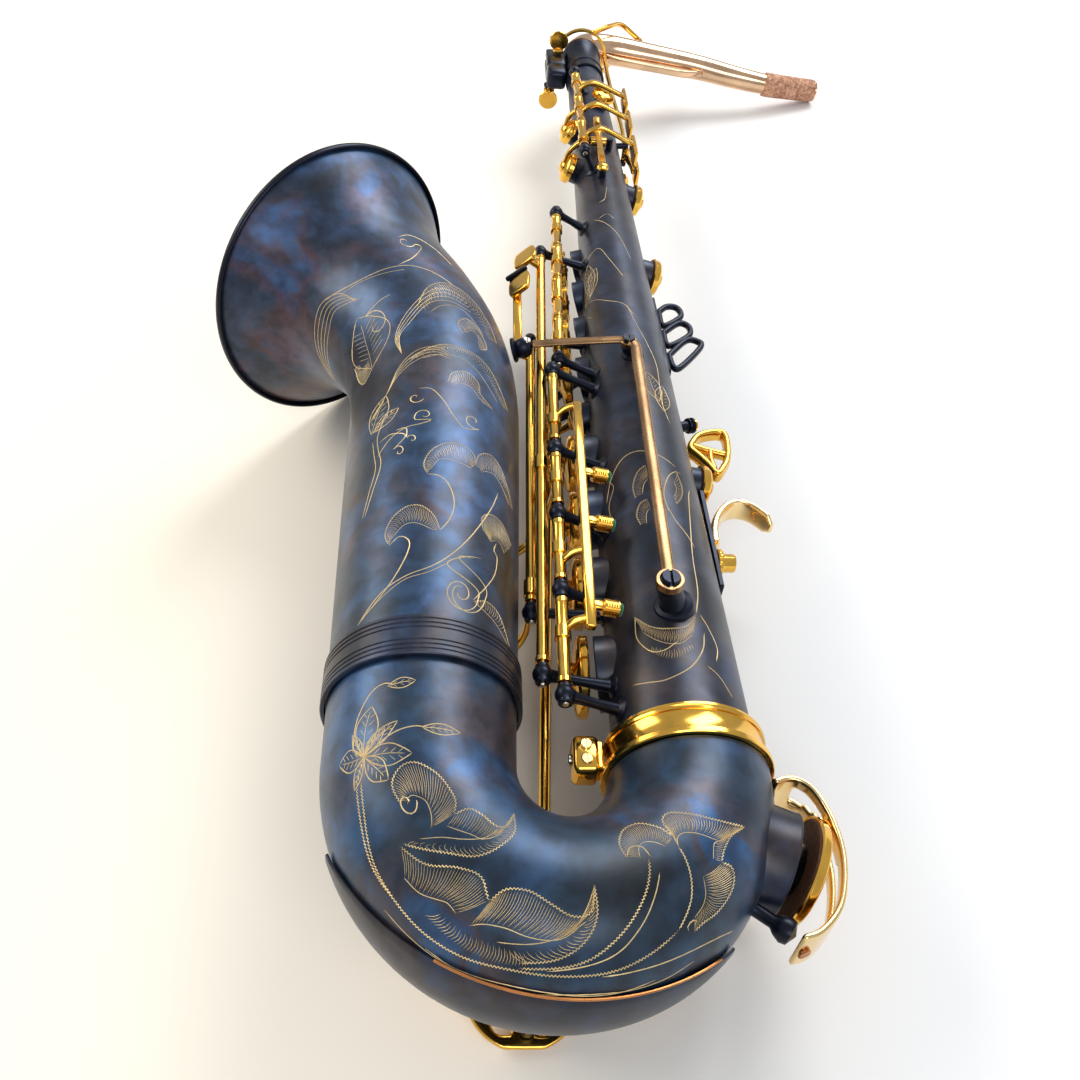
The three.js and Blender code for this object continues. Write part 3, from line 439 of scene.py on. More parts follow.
LACQUER = make_lacquer("lacquer", ((0.008, 0.013, 0.019), (0.016, 0.04, 0.075), (0.026, 0.085, 0.2),
                                   (0.056, 0.044, 0.052)), 0.55,
                                   [(0, (1, 1, 1)), (0.12, (1.05, 1.05, 1.1)), (0.24, (1.3, 1, 1)),
                                    (0.38, (1.1, 1, 1)), (0.46, (1.6, 0.95, 0.9)), (0.52, (1.3, 0.95, 1)),
                                    (0.575, (0.8, 1.2, 1.35))])
BODY_LACQUER = make_lacquer("body_lacquer", ((0.006, 0.008, 0.013), (0.012, 0.018, 0.036),
                                             (0.022, 0.04, 0.09), (0.038, 0.028, 0.03)), 0.55,
                                             [(0, (1, 1, 1)), (1, (1, 1, 1))])
BLACK = make_metal("black", (0.012, 0.016, 0.03), 0.3, 0.6, 0.08, 0.7)
GOLD = make_metal("gold", (0.93, 0.53, 0.09), 0.14, 0.78)
PALE_GOLD = make_metal("pale_gold", (1.0, 0.74, 0.36), 0.17, 0.86)
ROSE_GOLD = make_metal("rose_gold", (0.8, 0.53, 0.33), 0.15, 0.78)
# a darker copy of the gold with painted shade, standing in for the brace's dim reflections
SHADED_GOLD = make_metal("shaded_gold", (0.4, 0.23, 0.11), 0.26, 0.6)
COPPER = make_metal("copper", (0.75, 0.3, 0.1), 0.25, 0.7)
STEEL = make_metal("steel", (0.56, 0.52, 0.46), 0.22)
ENGRAVED = make_metal("engraved", (0.76, 0.57, 0.28), 0.42, 0.75, 0.05, 0.5)
CORK = make_cork()
LEATHER = make_soft("leather", (0.05, 0.018, 0.006), (0.13, 0.045, 0.014), 700, 0.0002, 0.6)
FELT = make_soft("felt", (0.005, 0.09, 0.04), (0.012, 0.22, 0.11), 2400, 0.0004, 0.95, 0.4)
PEARL = make_soft("pearl", (0.62, 0.6, 0.52), (0.9, 0.88, 0.8), 180, 0.00004, 0.18)
# the floor's white paper, with warm light painted on the bell's side
FLOOR_PAPER_PAINTED_WARM_LIGHT = make_paper_with_painted_warm_light()


# ---------------------------------------------------------------- pieces
def build_mesh(name, parts, turn=None):
    """One mesh from (shape, material) pairs; a shape is (vertices, faces) in millimetres."""
    verts, faces, slots, materials = [], [], [], []
    for shape, material in parts:
        if material not in materials:
            materials.append(material)
        shift = len(verts)
        verts += [in_row(point) for point in shape[0]]
        faces += [tuple(i + shift for i in face) for face in shape[1]]
        slots += [materials.index(material)] * len(shape[1])
    if turn is not None:
        verts = [turn @ point for point in verts]
    mesh = bpy.data.meshes.new(name)
    mesh.from_pydata(verts, [], faces)
    for material in materials:
        mesh.materials.append(material)
    mesh.polygons.foreach_set("material_index", slots)
    mesh.validate()
    mesh.shade_smooth()
    mesh.set_sharp_from_angle(angle=SHARP)
    piece = bpy.data.objects.new(name, mesh)
    bpy.context.scene.collection.objects.link(piece)
    return piece


def add(name, parts, body="body", replaces=(), turn=None):
    piece = build_mesh(name, parts, turn)
    fix_normals(piece.data)
    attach(piece, body)
    if replaces:
        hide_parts(*replaces)
    return piece


def dress(name, parts, body="body", turn=None):
    """A drawn piece in place of the CAD piece of that name."""
    add(f"{name}_dressed", parts, body, [name], turn)


def made_of(material, shapes):
    return [(shape, material) for shape in shapes]


def fix_normals(mesh):
    shape = bmesh.new()
    shape.from_mesh(mesh)
    bmesh.ops.recalc_face_normals(shape, faces=shape.faces)
    shape.to_mesh(mesh)
    shape.free()


def add_sheet(name, sheet, material, body="body", replaces=()):
    """Open-work sheet metal: a grid with holes, made thick and then subdivided."""
    verts, faces, thickness = sheet
    piece = build_mesh(name, [((verts, faces), material)])
    solid = piece.modifiers.new("solid", "SOLIDIFY")
    solid.thickness = thickness / 1000
    solid.offset = 0
    rounded = piece.modifiers.new("rounded", "SUBSURF")
    rounded.levels = rounded.render_levels = 2
    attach(piece, body)
    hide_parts(*replaces)
    return piece


def rest_turn(body):
    """Open-standing keys are drawn shut; this turns one back to its place at rest."""
    joint = JOINTS[body]
    point = Vector(joint["pos_m"])
    back = Matrix.Rotation(-math.radians(joint["range_deg"][1]), 4, Vector(joint["axis"]))
    return Matrix.Translation(point) @ back @ Matrix.Translation(-point)


# ---------------------------------------------------------------- bore surfaces
def body_radius(y):
    return BODY_RADIUS - BODY_TAPER * y


def body_place(t):
    return v(0, BODY_FOOT + (BODY_TOP - BODY_FOOT) * t, 0), ALONG


def bow_place(t):
    half = -BELL_X / 2
    if t > BOW_SHARE:
        rise = (t - BOW_SHARE) / (1 - BOW_SHARE)
        return v(BELL_X, BOW_TOP + (BOW_LEG_TOP - BOW_TOP) * rise, BELL_Z), ALONG
    share = t / BOW_SHARE
    angle = math.pi * share
    point = v(-half + half * math.cos(angle), BOW_TOP - BOW_DEPTH * math.sin(angle), BELL_Z * share)
    return point, v(-half * math.sin(angle), -BOW_DEPTH * math.cos(angle), 0)


def bow_radius(t):
    return mix(BOW_RADII, t)


RIM_NORMAL = v(
    -math.sin(RIM_YAW) * math.cos(RIM_PITCH),
    math.cos(RIM_YAW) * math.cos(RIM_PITCH),
    math.sin(RIM_PITCH),
)


class Route:
    """A curve with even steps of length, sampled once."""

    def __init__(self, points):
        self.points = points
        self.lengths = [0.0]
        for a, b in zip(points, points[1:]):
            self.lengths.append(self.lengths[-1] + (b - a).length)
        self.length = self.lengths[-1]

    def point(self, t):
        target = min(max(t, 0), 1) * self.length
        low, high = 0, len(self.lengths) - 1
        while high - low > 1:
            middle = (low + high) // 2
            if self.lengths[middle] <= target:
                low = middle
            else:
                high = middle
        share = (target - self.lengths[low]) / (self.lengths[high] - self.lengths[low])
        return self.points[low].lerp(self.points[high], share)

    def place(self, t):
        step = 0.004
        ahead = self.point(min(t + step, 1)) - self.point(max(t - step, 0))
        return self.point(t), ahead.normalized()


def bezier(a, b, c, d, count):
    points = []
    for i in range(count + 1):
        s = i / count
        points.append(a * (1 - s) ** 3 + b * (3 * s * (1 - s) ** 2) + c * (3 * s * s * (1 - s)) + d * s ** 3)
    return points


bell_start = v(BELL_X, BELL_STRAIGHT, BELL_Z)
BELL = Route([v(BELL_X, BELL_BOTTOM, BELL_Z)] + bezier(
    bell_start, bell_start + v(0, 66, 0), RIM_CENTRE - RIM_NORMAL * 62, RIM_CENTRE, 160))


def bell_radius(t):
    return mix(BELL_FLARE, t)


def neck_point(reach, height, side=0.0):
    """`side` is across the neck's own plane."""
    return v(reach * math.cos(NECK_YAW) + side * math.sin(NECK_YAW), height,
             -reach * math.sin(NECK_YAW) + side * math.cos(NECK_YAW))


NECK = Route(smooth([neck_point(*place) for place in [
    (0, 694), (3, 704), (12, 711), (27, 714), (48, 713.5), (75, 712.5),
    (105, 710), (136, 703), (163, 699.8), (184, 701.2), (205, 703.8)]], 12))
NECK_RADII = [12.4, 12.2, 11.8, 11.2, 10.6, 10, 9.4, 8.8, 8.2, 7.8, 7.5]
CORK_START, CORK_END = 0.79, 0.991  # shares of the neck


def surface_point(place, radius, t, degrees, lift=0.0):
    point, tangent = place(t)
    x, _, z = basis_along(tangent)
    angle = math.radians(degrees)
    return point + (x * math.cos(angle) + z * math.sin(angle)) * (radius(t) + lift)


def shell(place, radius, steps, sides=FINE, wall=WALL, span=(0, 1)):
    """A tube with an inner and an outer wall."""
    rings = []
    for offset, order in ((0, range(steps + 1)), (-wall, reversed(range(steps + 1)))):
        for i in order:
            t = span[0] + (span[1] - span[0]) * i / steps
            rings.append([surface_point(place, radius, t, 360 * j / sides, offset) for j in range(sides)])
    return loft(rings, cyclic=True)


def bore_holes(piece, holes):
    """Opens the tone holes in a shell's wall."""
    cutters = [(rod(hole.along(hole.rim * 0.4), hole.along(hole.rim + 4), hole.radius, 40, 0.01), BLACK)
               for hole in holes]
    cutter = build_mesh("cutter", cutters)
    fix_normals(cutter.data)
    cut = piece.modifiers.new("holes", "BOOLEAN")
    cut.operation = "DIFFERENCE"
    cut.solver = "EXACT"
    cut.object = cutter
    bpy.context.view_layer.update()
    graph = bpy.context.evaluated_depsgraph_get()
    mesh = bpy.data.meshes.new_from_object(piece.evaluated_get(graph))
    piece.modifiers.clear()
    piece.data = mesh
    mesh.shade_smooth()
    mesh.set_sharp_from_angle(angle=SHARP)
    while len(mesh.materials) > 1:
        mesh.materials.pop(index=1)
    bpy.data.objects.remove(cutter)


# ---------------------------------------------------------------- tone holes and hinge lines
class Hole:
    def __init__(self, centre, normal, radius, rim):
        self.centre, self.normal = centre, normal.normalized()
        self.radius, self.rim = radius, rim

    def along(self, distance):
        return self.centre + self.normal * distance


def body_hole(y, angle, radius):
    return Hole(v(0, y, 0), polar(1, angle), radius, body_radius(y) + CHIMNEY)


def bell_hole(y, angle, radius):
    return Hole(v(BELL_X, y, BELL_Z), polar(1, angle), radius, bell_radius(y / BELL_LENGTH) + LOW_CHIMNEY)


def bow_hole(t, normal, radius):
    return Hole(bow_place(t)[0], normal, radius, bow_radius(t) + LOW_CHIMNEY)


BODY_HOLES = {
    "low_d_key": body_hole(58, 192, 15.5), "low_e_key": body_hole(106, 192, 14.5),
    "low_f_key": body_hole(152, 192, 13.5), "f_sharp_key": body_hole(195, 192, 12.5),
    "g_key": body_hole(268, 200, 11.5), "a_key": body_hole(308, 200, 10.5),
    "b_key": body_hole(346, 200, 10), "c_key": body_hole(382, 200, 9.5),
    "g_sharp_key": body_hole(236, 205, 8), "side_f_sharp_key": body_hole(180, -10, 8),
    "side_b_flat_key": body_hole(372, -12, 9), "side_c_key": body_hole(467, -12, 8),
    "high_e_key": body_hole(508, -42, 6.5), "palm_d_key": body_hole(482, 160, 7.5),
    "palm_e_flat_key": body_hole(530, 150, 6.5), "palm_f_key": body_hole(572, 72, 6),
}
BELL_HOLES = {"low_b_key": bell_hole(170, 276, 21), "low_b_flat_key": bell_hole(100, 276, 22)}
BOW_HOLES = {
    "low_c_key": bow_hole(0.12 * BOW_SHARE, v(0.95, -0.3, -0.12), 19.5),
    "low_e_flat_key": bow_hole(0.3 * BOW_SHARE, v(0, 0, -1), 17.5),
    "low_c_sharp_key": bow_hole(0.75 * BOW_SHARE, v(0, 0, -1), 18.5),
}
HOLES = {**BODY_HOLES, **BELL_HOLES, **BOW_HOLES}


class Line:
    """A hinge rod from one end to the other, with its posts' heights."""

    def __init__(self, start, end, posts):
        self.start, self.end, self.posts = start, end, posts
        self.axis = (end - start).normalized()

    def at(self, y):
        return self.start.lerp(self.end, (y - self.start.y) / (self.end.y - self.start.y))


LINES = {
    "lower_stack": Line(v(-49.6, 22, 20), v(-45.6, 241, 20), [27, 82, 129, 174, 236]),
    "upper_stack": Line(v(-41.5, 244, 18), v(-35.5, 407, 18), [249, 402]),
    "low_b": Line(v(-57.4, 36, 13), v(-46.4, 368, 13), [42, 362]),
    "low_b_flat": Line(v(-59.4, 80, 0), v(-53.6, 295, 0), [86, 288.5]),
    "low_c_sharp": Line(v(-55, -66, -50), v(-39, 292, -41), [-60, 286]),
    "bow_keys": Line(v(9, -54, -48), v(9, 98, -46), [-49, 26, 93]),
    "g_sharp": Line(v(-42, 212, -28), v(-41, 256, -28), [216, 252]),
    "palm": Line(v(-15, 460, 30), v(-14, 596, 28), [465, 591]),
    "back": Line(v(17, 118, -33), v(12, 546, -24), [123, 541]),
}


# ---------------------------------------------------------------- shared details
def chimney(hole, wall=1.0):
    """The drawn rim of a tone hole, with a small rolled edge."""
    foot = hole.rim - CHIMNEY - 5 - max(0, hole.radius - 12) * 0.55
    r = hole.radius
    return lathe([(r, foot), (r + wall, foot), (r + wall, hole.rim - 0.9), (r + wall + 0.25, hole.rim - 0.5),
                  (r + wall, hole.rim), (r, hole.rim), (r, foot)], hole.centre, hole.normal, 40)


def ball_post(centre, axis_point, radius, axis):
    """A ball on a turned stem, on a disc soldered to the tube, with a pivot screw through it."""
    out = (centre - axis_point).normalized()
    foot = axis_point + out * (radius - 0.4)
    height = (centre - foot).length
    stem = [(0, 0), (5.2, 0), (5.2, 0.9), (4.4, 1.3), (2.8, 2.2), (2.1, max(height * 0.45, 2.6)),
            (2.3, height * 0.75), (3, height - 2.6), (0, height - 1)]
    black = [lathe(stem, foot, out, 20), ball(centre, 4.3, 18, axis),
             rod(centre - axis * 4.5, centre + axis * 4.5, 3.1, 18)]
    return black, [screw_head(centre + axis * 4.4, axis, 1.7, 0.7, 0.3)]


def line_post(line, y):
    return ball_post(line.at(y), v(0, y, 0), body_radius(y), line.axis)


def cup_parts(hole):
    """A key cup with its leather pad, steel resonator and rivet, shut on its hole."""
    r = hole.radius + 2.6
    base = hole.along(hole.rim + PAD_LIFT)
    shape = [(r - 1.1, 2.4), (r - 1.1, 0), (r - 0.2, -0.1), (r + 0.25, 0.5), (r, 1.1), (r, 3.1),
             (r - 0.5, 3.9), (r * 0.9, 4.7), (r * 0.72, 5.4), (r * 0.42, 6.2), (r * 0.4, 6.7),
             (r * 0.2, 6.9), (0, 7)]
    pad = [(0, -0.4), (r - 1.8, -0.4), (r - 1.3, 0), (r - 1.2, 1.2), (0, 2.4)]
    parts = [(lathe([(0, 2.4), *shape], base, hole.normal, 40), GOLD),
             (lathe(pad, base, hole.normal, 36), LEATHER)]
    if hole.radius > 7:
        inner = hole.radius * 0.55
        parts.append((lathe([(0, -1.4), (1.2, -1.3), (1.3, -0.9), (inner * 0.9, -0.75), (inner, -0.3),
                             (0, -0.2)], base, hole.normal, 24), STEEL))
    return parts


def pearl_touch(hole, radius=6.8):
    """A finger's pearl in its holder, on the cup's crown."""
    base = hole.along(hole.rim + 5)
    holder = [(0, 0), (radius * 0.55, 0), (radius * 0.6, 1.5), (radius, 2.4), (radius, 4.6),
              (radius - 0.7, 4.8), (radius - 0.8, 4.2), (0, 4.2)]
    pearl = [(0, 4.2), (radius - 0.85, 4.2), (radius - 0.9, 4.7), (radius * 0.5, 4.3), (0, 4.15)]
    return [(lathe(holder, base, hole.normal, 28), GOLD), (lathe(pearl, base, hole.normal, 28), PEARL)]


def tube_parts(line, low, high):
    """A hinge tube with a collar at each end and a seam ring beside each."""
    start, end = line.at(low), line.at(high)
    length = (end - start).length
    profile = [(1.7, 0), (3.1, 0), (3.1, 2.2), (2.85, 2.5), (2.7, 2.9), (2.7, length - 2.9),
               (2.85, length - 2.5), (3.1, length - 2.2), (3.1, length), (1.7, length), (1.7, 0)]
    return [(lathe(profile, start, line.axis, 24), GOLD)]


def arm_parts(line, hole, low, high, arm, elbows=()):
    """A tapering arm from a saddle on the tube to a boss on the cup."""
    crown = hole.along(hole.rim + PAD_LIFT + 6.3)
    root = line.at(min(max(crown.y, low + arm / 2 + 1), high - arm / 2 - 1))
    bend = elbows or [root.lerp(crown, 0.5) + hole.normal * 2.2]
    route = smooth([root, *bend, crown], 7)

    def width(t):
        return arm / 2 * (1 - 0.42 * math.sin(math.pi * min(t * 1.15, 1)))

    reach = sweep(route, width, 1.5, 14, 3.2, hole.normal)
    saddle = collar(3.6, 1.8, -arm * 0.55, arm * 0.55, root, line.axis, 24)
    boss = lathe([(0, -1), (arm * 0.75, -1), (arm * 0.75, 0.6), (arm * 0.55, 1.5), (1.4, 2), (0, 2)],
                 crown, hole.normal, 24)
    return [(reach, GOLD), (saddle, GOLD), (boss, GOLD)]


def bar_parts(points, width, thickness, up=UP, power=4, material=GOLD):
    return [(sweep(points, width / 2, thickness / 2, 16, power, up), material)]


def curved(points, width, thickness, up=UP, power=4, steps=6, material=GOLD):
    return bar_parts(smooth(points, steps), width, thickness, up, power, material)


def touch_plate(centre, width, length, thickness, normal):
    """A rounded finger plate, slightly dished by its easing, with a fuller middle."""
    half = length / 2 - 0.8

    def across(t):
        return width / 2 * (0.8 + 0.2 * math.sin(math.pi * t) ** 0.5)

    points = [centre + v(0, -half + 2 * half * i / 8, 0) for i in range(9)]
    return [(sweep(points, across, thickness / 2, 20, 5, normal), GOLD)]


def key(name, line, low, high, stands, parts=(), arm=6, elbows=()):
    hole = HOLES[name]
    hinge = LINES[line]
    pieces = [*tube_parts(hinge, low, high), *cup_parts(hole),
              *arm_parts(hinge, hole, low, high, arm, elbows), *parts]
    dress(name, pieces, name, rest_turn(name) if stands == "open" else None)


# ---------------------------------------------------------------- body, bow and bell
BRACE_UPPER, BRACE_LOWER = v(-5.6, 250.8, 30), v(-6.7, 69.2, 42)
ROCKER_ROD = v(-13, 497, 21), v(8, 497, 21)
THUMB_ROD = v(22.1, 524, -8.4), v(22.1, 524, 8.4)


def brace_foot(point, top, radius):
    """A stepped round foot that carries the brace off the body."""
    ground = body_radius(point.y)
    start = v(point.x * 0.2, point.y, ground - 3)
    out = (v(point.x, point.y, top) - start).normalized()
    height = (v(point.x, point.y, top) - start).length
    return lathe([(0, 0), (radius, 0), (radius, 4), (radius - 0.7, 4.9), (radius - 2.6, 5.3),
                  (radius - 2.9, 6.4), (radius * 0.64, 7), (radius * 0.62, height), (0, height)], start, out,
                  36)


def add_tube(name, place, radius, steps, material, holes):
    """A tube with its wall opened at its tone holes."""
    tube = [(shell(place, radius, steps), material)]
    bore_holes(add(f"{name}_shell", tube, "body", [name]), holes.values())


def add_chimneys(name, holes, material):
    add(name, made_of(material, map(chimney, holes.values())))


def make_body():
    def bore(t):
        return body_radius(body_place(t)[0].y)

    add_tube("body_tube", body_place, bore, 40, BODY_LACQUER, BODY_HOLES)
    add_chimneys("body_chimneys", BODY_HOLES, BODY_LACQUER)
    posts, screws = [], []
    for line in LINES.values():
        for y in line.posts:
            if y > 0:  # the two others stand on the bow
                post, screw = line_post(line, y)
                posts += post
                screws += screw
    posts += [rod(v(x, 497, 13), v(x, 497, 24), 2.3) for x in (-10.5, 5.5)]
    posts += [rod(v(12, 524, z * 0.8), v(23, 524, z), 2.1) for z in (-7, 7)]
    posts += [brace_foot(BRACE_LOWER, BRACE_LOWER.z - 2.8, 8.6),
              brace_foot(BRACE_UPPER, BRACE_UPPER.z - 1.4, 6)]
    posts += [rod(v(-3, 455, 12), v(-3, 455, 22.5), 3)]
    screws += [rod(*ROCKER_ROD, 1), rod(*THUMB_ROD, 1)]
    add("body_posts", made_of(BLACK, posts))
    add("pivot_screws", made_of(COPPER, screws))
    rods = [rod(line.start, line.end, 1.5, 16) for line in LINES.values()]
    add("hinge_rods", made_of(STEEL, rods), "body", [f"{name}_rod" for name in LINES])


def make_bow():
    add_tube("bow", bow_place, bow_radius, 64, LACQUER, BOW_HOLES)
    add_chimneys("bow_chimneys", BOW_HOLES, BODY_LACQUER)
    posts = [ball_post(LINES["bow_keys"].at(-49), v(-20, -42, 0), 34, LINES["bow_keys"].axis),
             ball_post(LINES["low_c_sharp"].at(-60), v(-52, -57, 2), 35, LINES["low_c_sharp"].axis)]
    black = [shape for post in posts for shape in post[0]]
    black += [rod(v(-60, -71, -26), v(-60, -71, -62.4), 3.2), rod(v(27, -3, 0), v(33.6, -3, 0), 3)]
    black += [lathe([(0, 0), (4.4, 0), (4.4, 2), (2.6, 5), (2.6, 15), (4, 17), (5.2, 20), (4.6, 22.5),
                     (0, 24.4)], v(12, -47, 0), v(31.6, -62, 0) - v(12, -47, 0), 24)]
    add("bow_posts", made_of(BLACK, black))
    add("bow_screws", [(shape, COPPER) for post in posts for shape in post[1]])

    rings = []
    spread, levels, steps = 24, 14, 44
    for i in range(steps + 1):
        share = (0.27 + 0.6 * i / steps) * BOW_SHARE
        ends = max(0.05, math.sin(math.pi * i / steps)) ** 0.55
        point, tangent = bow_place(share)
        outward = v(-tangent.y, tangent.x, 0).normalized()
        ring = []
        for lift, order in ((1.9, range(levels + 1)), (0.8, reversed(range(levels + 1)))):
            for j in order:
                angle = math.radians(spread * ends * (2 * j / levels - 1))
                edge = 0.5 if j in (0, levels) and lift > 1 else 0
                ring.append(point + (outward * math.cos(angle) + UP * math.sin(angle))
                            * (bow_radius(share) + lift - edge))
        rings.append(ring)
    edge = [ring[levels] for ring in rings[2:steps // 2 + 8]]
    dress("bow_plate", [(loft(rings), BODY_LACQUER), (sweep(edge, 0.55, 0.55, 8), COPPER)])


def make_bell():
    add_tube("bell", BELL.place, bell_radius, 90, LACQUER, BELL_HOLES)
    add_chimneys("bell_chimneys", BELL_HOLES, LACQUER)
    bead = 2.5
    rim = [(RIM_RADIUS + 0.35 + bead * (1 + math.cos(a)) / 2, bead * math.sin(a) * 0.85)
           for a in [2 * math.pi * i / 14 for i in range(15)]]
    rim[-1] = rim[0]
    lip = [(RIM_RADIUS - 2.6, 0.35), (RIM_RADIUS + 0.6, 1.4), (RIM_RADIUS + 0.6, 0.4),
           (RIM_RADIUS - 2.6, -0.3), (RIM_RADIUS - 2.6, 0.35)]
    beads = [lathe(profile, RIM_CENTRE, RIM_NORMAL, 128) for profile in (rim, lip)]
    add("bell_rim_bead", made_of(BLACK, beads), "body", ["bell_rim"])


def make_rings():
    low = body_radius(0) + 0.3
    profile = [(low, 1.8), (34.1, 1.8), (34.5, 2.3), (34.4, 4.2), (33.6, 4.9), (32.3, 5.3), (32, 6),
               (31.9, 12.6), (32.1, 13.3), (32.8, 13.6), (32.9, 14.6), (32.5, 15), (32.9, 15.4),
               (32.8, 16.4), (32.2, 17), (low, 17), (low, 1.8)]
    dress("body_bow_ring", [(lathe(profile, v(0, 0, 0), ALONG, FINE), GOLD)])
    block = bar_parts([v(-40.4, 3.6, 0), v(-40.4, 16.4, 0)], 10.5, 13, UP, 7)
    block += bar_parts([v(-36.4, 4.4, 0), v(-36.4, 15.6, 0)], 6.5, 10, UP, 7)
    for y in (6.6, 13.4):
        block.append((screw_head(v(-40.4, y, 6.4), UP, 2.4, 1.1), PALE_GOLD))
    block.append((rod(v(-45.6, 10, 0), v(-47.2, 10, 0), 2.4), STEEL))
    dress("ring_clamp_block", block)
    grooved = [(38.6, 26.8), (39.9, 26.8), (40.3, 27.2)]
    for y in (29, 31.2, 33.4, 39.4, 41.6, 43.8):
        grooved += [(40.35, y - 0.55), (39.9, y - 0.2), (39.9, y + 0.2), (40.35, y + 0.55)]
    grooved += [(40.3, 45.6), (39.9, 46), (39.3, 46), (38.6, 26.8)]
    dress("bell_bow_ring", [(lathe(grooved, v(BELL_X, 0, BELL_Z), ALONG, FINE), BODY_LACQUER)])


# ---------------------------------------------------------------- receiver and neck
def make_receiver():
    inner = 12.8
    profile = [(inner, 640.4), (14.4, 640.4), (15.2, 641.2), (15.2, 645), (14.6, 645.6), (14.6, 652),
               (15.2, 652.6), (15.2, 656), (14.5, 656.8), (14.5, 683), (15.2, 684), (15.2, 689.4),
               (14.6, 690), (inner, 690), (inner, 640.4)]
    parts = [(lathe(profile, v(0, 0, 0), ALONG, 64), BLACK)]
    for side in (-1, 1):
        parts += bar_parts([v(-22.5, 656, side * 4.1), v(-22.5, 681.5, side * 4.1)], 15, 6.8, UP, 6, BLACK)
    parts += bar_parts([v(-22.5, 641.6, 0), v(-22.5, 654.6, 0)], 15, 15, UP, 6, BLACK)
    parts += [(collar(4.6, 2.6, -1, 1, v(-27, 648, -7.6), UP, 24), BLACK)]
    dress("neck_receiver", parts)
    for name, origin, direction in (("neck_screw", v(-21, 674, -2), v(0, 0, 1)),
                                    ("lyre_screw", v(-27, 648, 0), v(0, 0, -1))):
        paddle = [(0, -1.1), (5.6, -1.1), (7.2, -0.9), (7.6, 0), (7.2, 0.9), (5.6, 1.1), (0, 1.1)]
        shaft = [(0, 0), (1.9, 0), (1.9, 10.2), (4.1, 10.4), (4.4, 10.9), (4.4, 12.5), (3.4, 13.4),
                 (2, 14.2), (0, 14.4)]
        screw = [lathe(paddle, origin + direction * 19.5, ALONG, 32), lathe(shaft, origin, direction, 24)]
        dress(name, made_of(GOLD, screw), name)


def neck_radius(t):
    return mix(NECK_RADII, t)


def make_neck():
    parts = [(shell(NECK.place, neck_radius, 70, 48, 0.8), ROSE_GOLD)]
    tenon = [(11.1, 652), (12.1, 652), (12.1, 690.35), (13.6, 690.35), (14.4, 690.8), (14.6, 691.6),
             (14.6, 693), (14.1, 693.9), (13.4, 694.4), (13.4, 695.2), (12.6, 695.8), (11.1, 695.8),
             (11.1, 652)]
    parts.append((lathe(tenon, v(0, 0, 0), ALONG, 56), ROSE_GOLD))
    brace = [neck_point(*place) for place in ((16, 700), (26, 695.2), (44, 692.6), (70, 691.4), (92, 692),
                                              (108, 703))]
    parts += curved(brace, 6, 2.6, NECK_UP, 3, 8, ROSE_GOLD)
    pip = [(0, 0), (3, 0), (3, 1.2), (2.2, 2), (2.2, 6.8), (2.8, 7.2), (2.8, 8), (1.2, 8), (1.2, 5), (0, 5)]
    parts.append((lathe(pip, neck_point(100, 716), ALONG, 24), GOLD))
    saddle = [(0, 0), (4.6, 0), (4.6, 1), (2.4, 2.4), (2.2, 7), (0, 7)]
    parts.append((lathe(saddle, neck_point(52, 722.5), ALONG, 24), GOLD))
    parts.append((rod(neck_point(52, 729, -4.2), neck_point(52, 729, 4.2), 3, 20), GOLD))
    parts.append((rod(neck_point(52, 729, -7.4), neck_point(52, 729, 7.4), 1.4, 12), STEEL))
    end = lathe([(6.6, -1.4), (8.3, -1.4), (8.6, -0.7), (8.3, 0), (6.6, 0), (6.6, -1.4)], NECK.point(1),
                NECK.place(1)[1], 40)
    parts.append((end, ROSE_GOLD))
    add("neck_tube", parts, "neck", ["neck"])

    def cork_share(t):
        return CORK_START + (CORK_END - CORK_START) * t

    def cork_radius(t):
        eased = min(1, math.sin(math.pi * min(max(t, 0.015), 0.985)) * 14)
        return neck_radius(cork_share(t)) + 0.5 + eased

    def cork_place(t):
        return NECK.place(cork_share(t))

    add("neck_cork_sleeve", [(shell(cork_place, cork_radius, 30, 40, 1.1), CORK)], "neck", ["neck_cork"])


def make_octave_key():
    hinge = neck_point(52, 729)

    def beside(dx, dy, dz):
        return hinge + v(dx, dy, dz)
    ring = [(18.5, 0), (20.2, 0), (20.7, 0.5), (20.7, 2.8), (20.2, 3.3), (18.5, 3.3), (18.2, 1.6), (18.5, 0)]
    parts = [(lathe(ring, v(0, 692.5, 0), v(-0.03, 1, -0.05), 64), GOLD)]
    for side in (1, -1):
        parts += curved([v(8, 695, 18 * side), v(16, 703, 18.6 * side), v(24, 713, 17.8 * side),
                         v(36, 731, 12.5 * side), beside(0, 3, 6 * side)], 4, 2.8, NECK_UP, 3)
        parts.append((rod(beside(0, 0, 4.4 * side), beside(0, 0, 7.4 * side), 3.1), GOLD))
    parts += bar_parts([beside(0, 4.2, -7), beside(0, 4.2, 7)], 5, 2.6, ALONG, 3)
    parts += curved([beside(0, 4.4, 0), neck_point(66, 733), neck_point(84, 732.6), neck_point(101, 729)], 5,
                    2.4, ALONG, 3)
    parts.append((lathe([(0, 0), (3.2, 0), (3.9, 0.7), (4, 2.6), (2.6, 4.6), (0, 5.2)],
                        neck_point(100, 724.8), ALONG, 24), GOLD))
    parts.append((rod(neck_point(100, 724.3), neck_point(100, 725.4), 3.4, 20), LEATHER))
    dress("neck_octave_key", parts, "neck_octave_key")


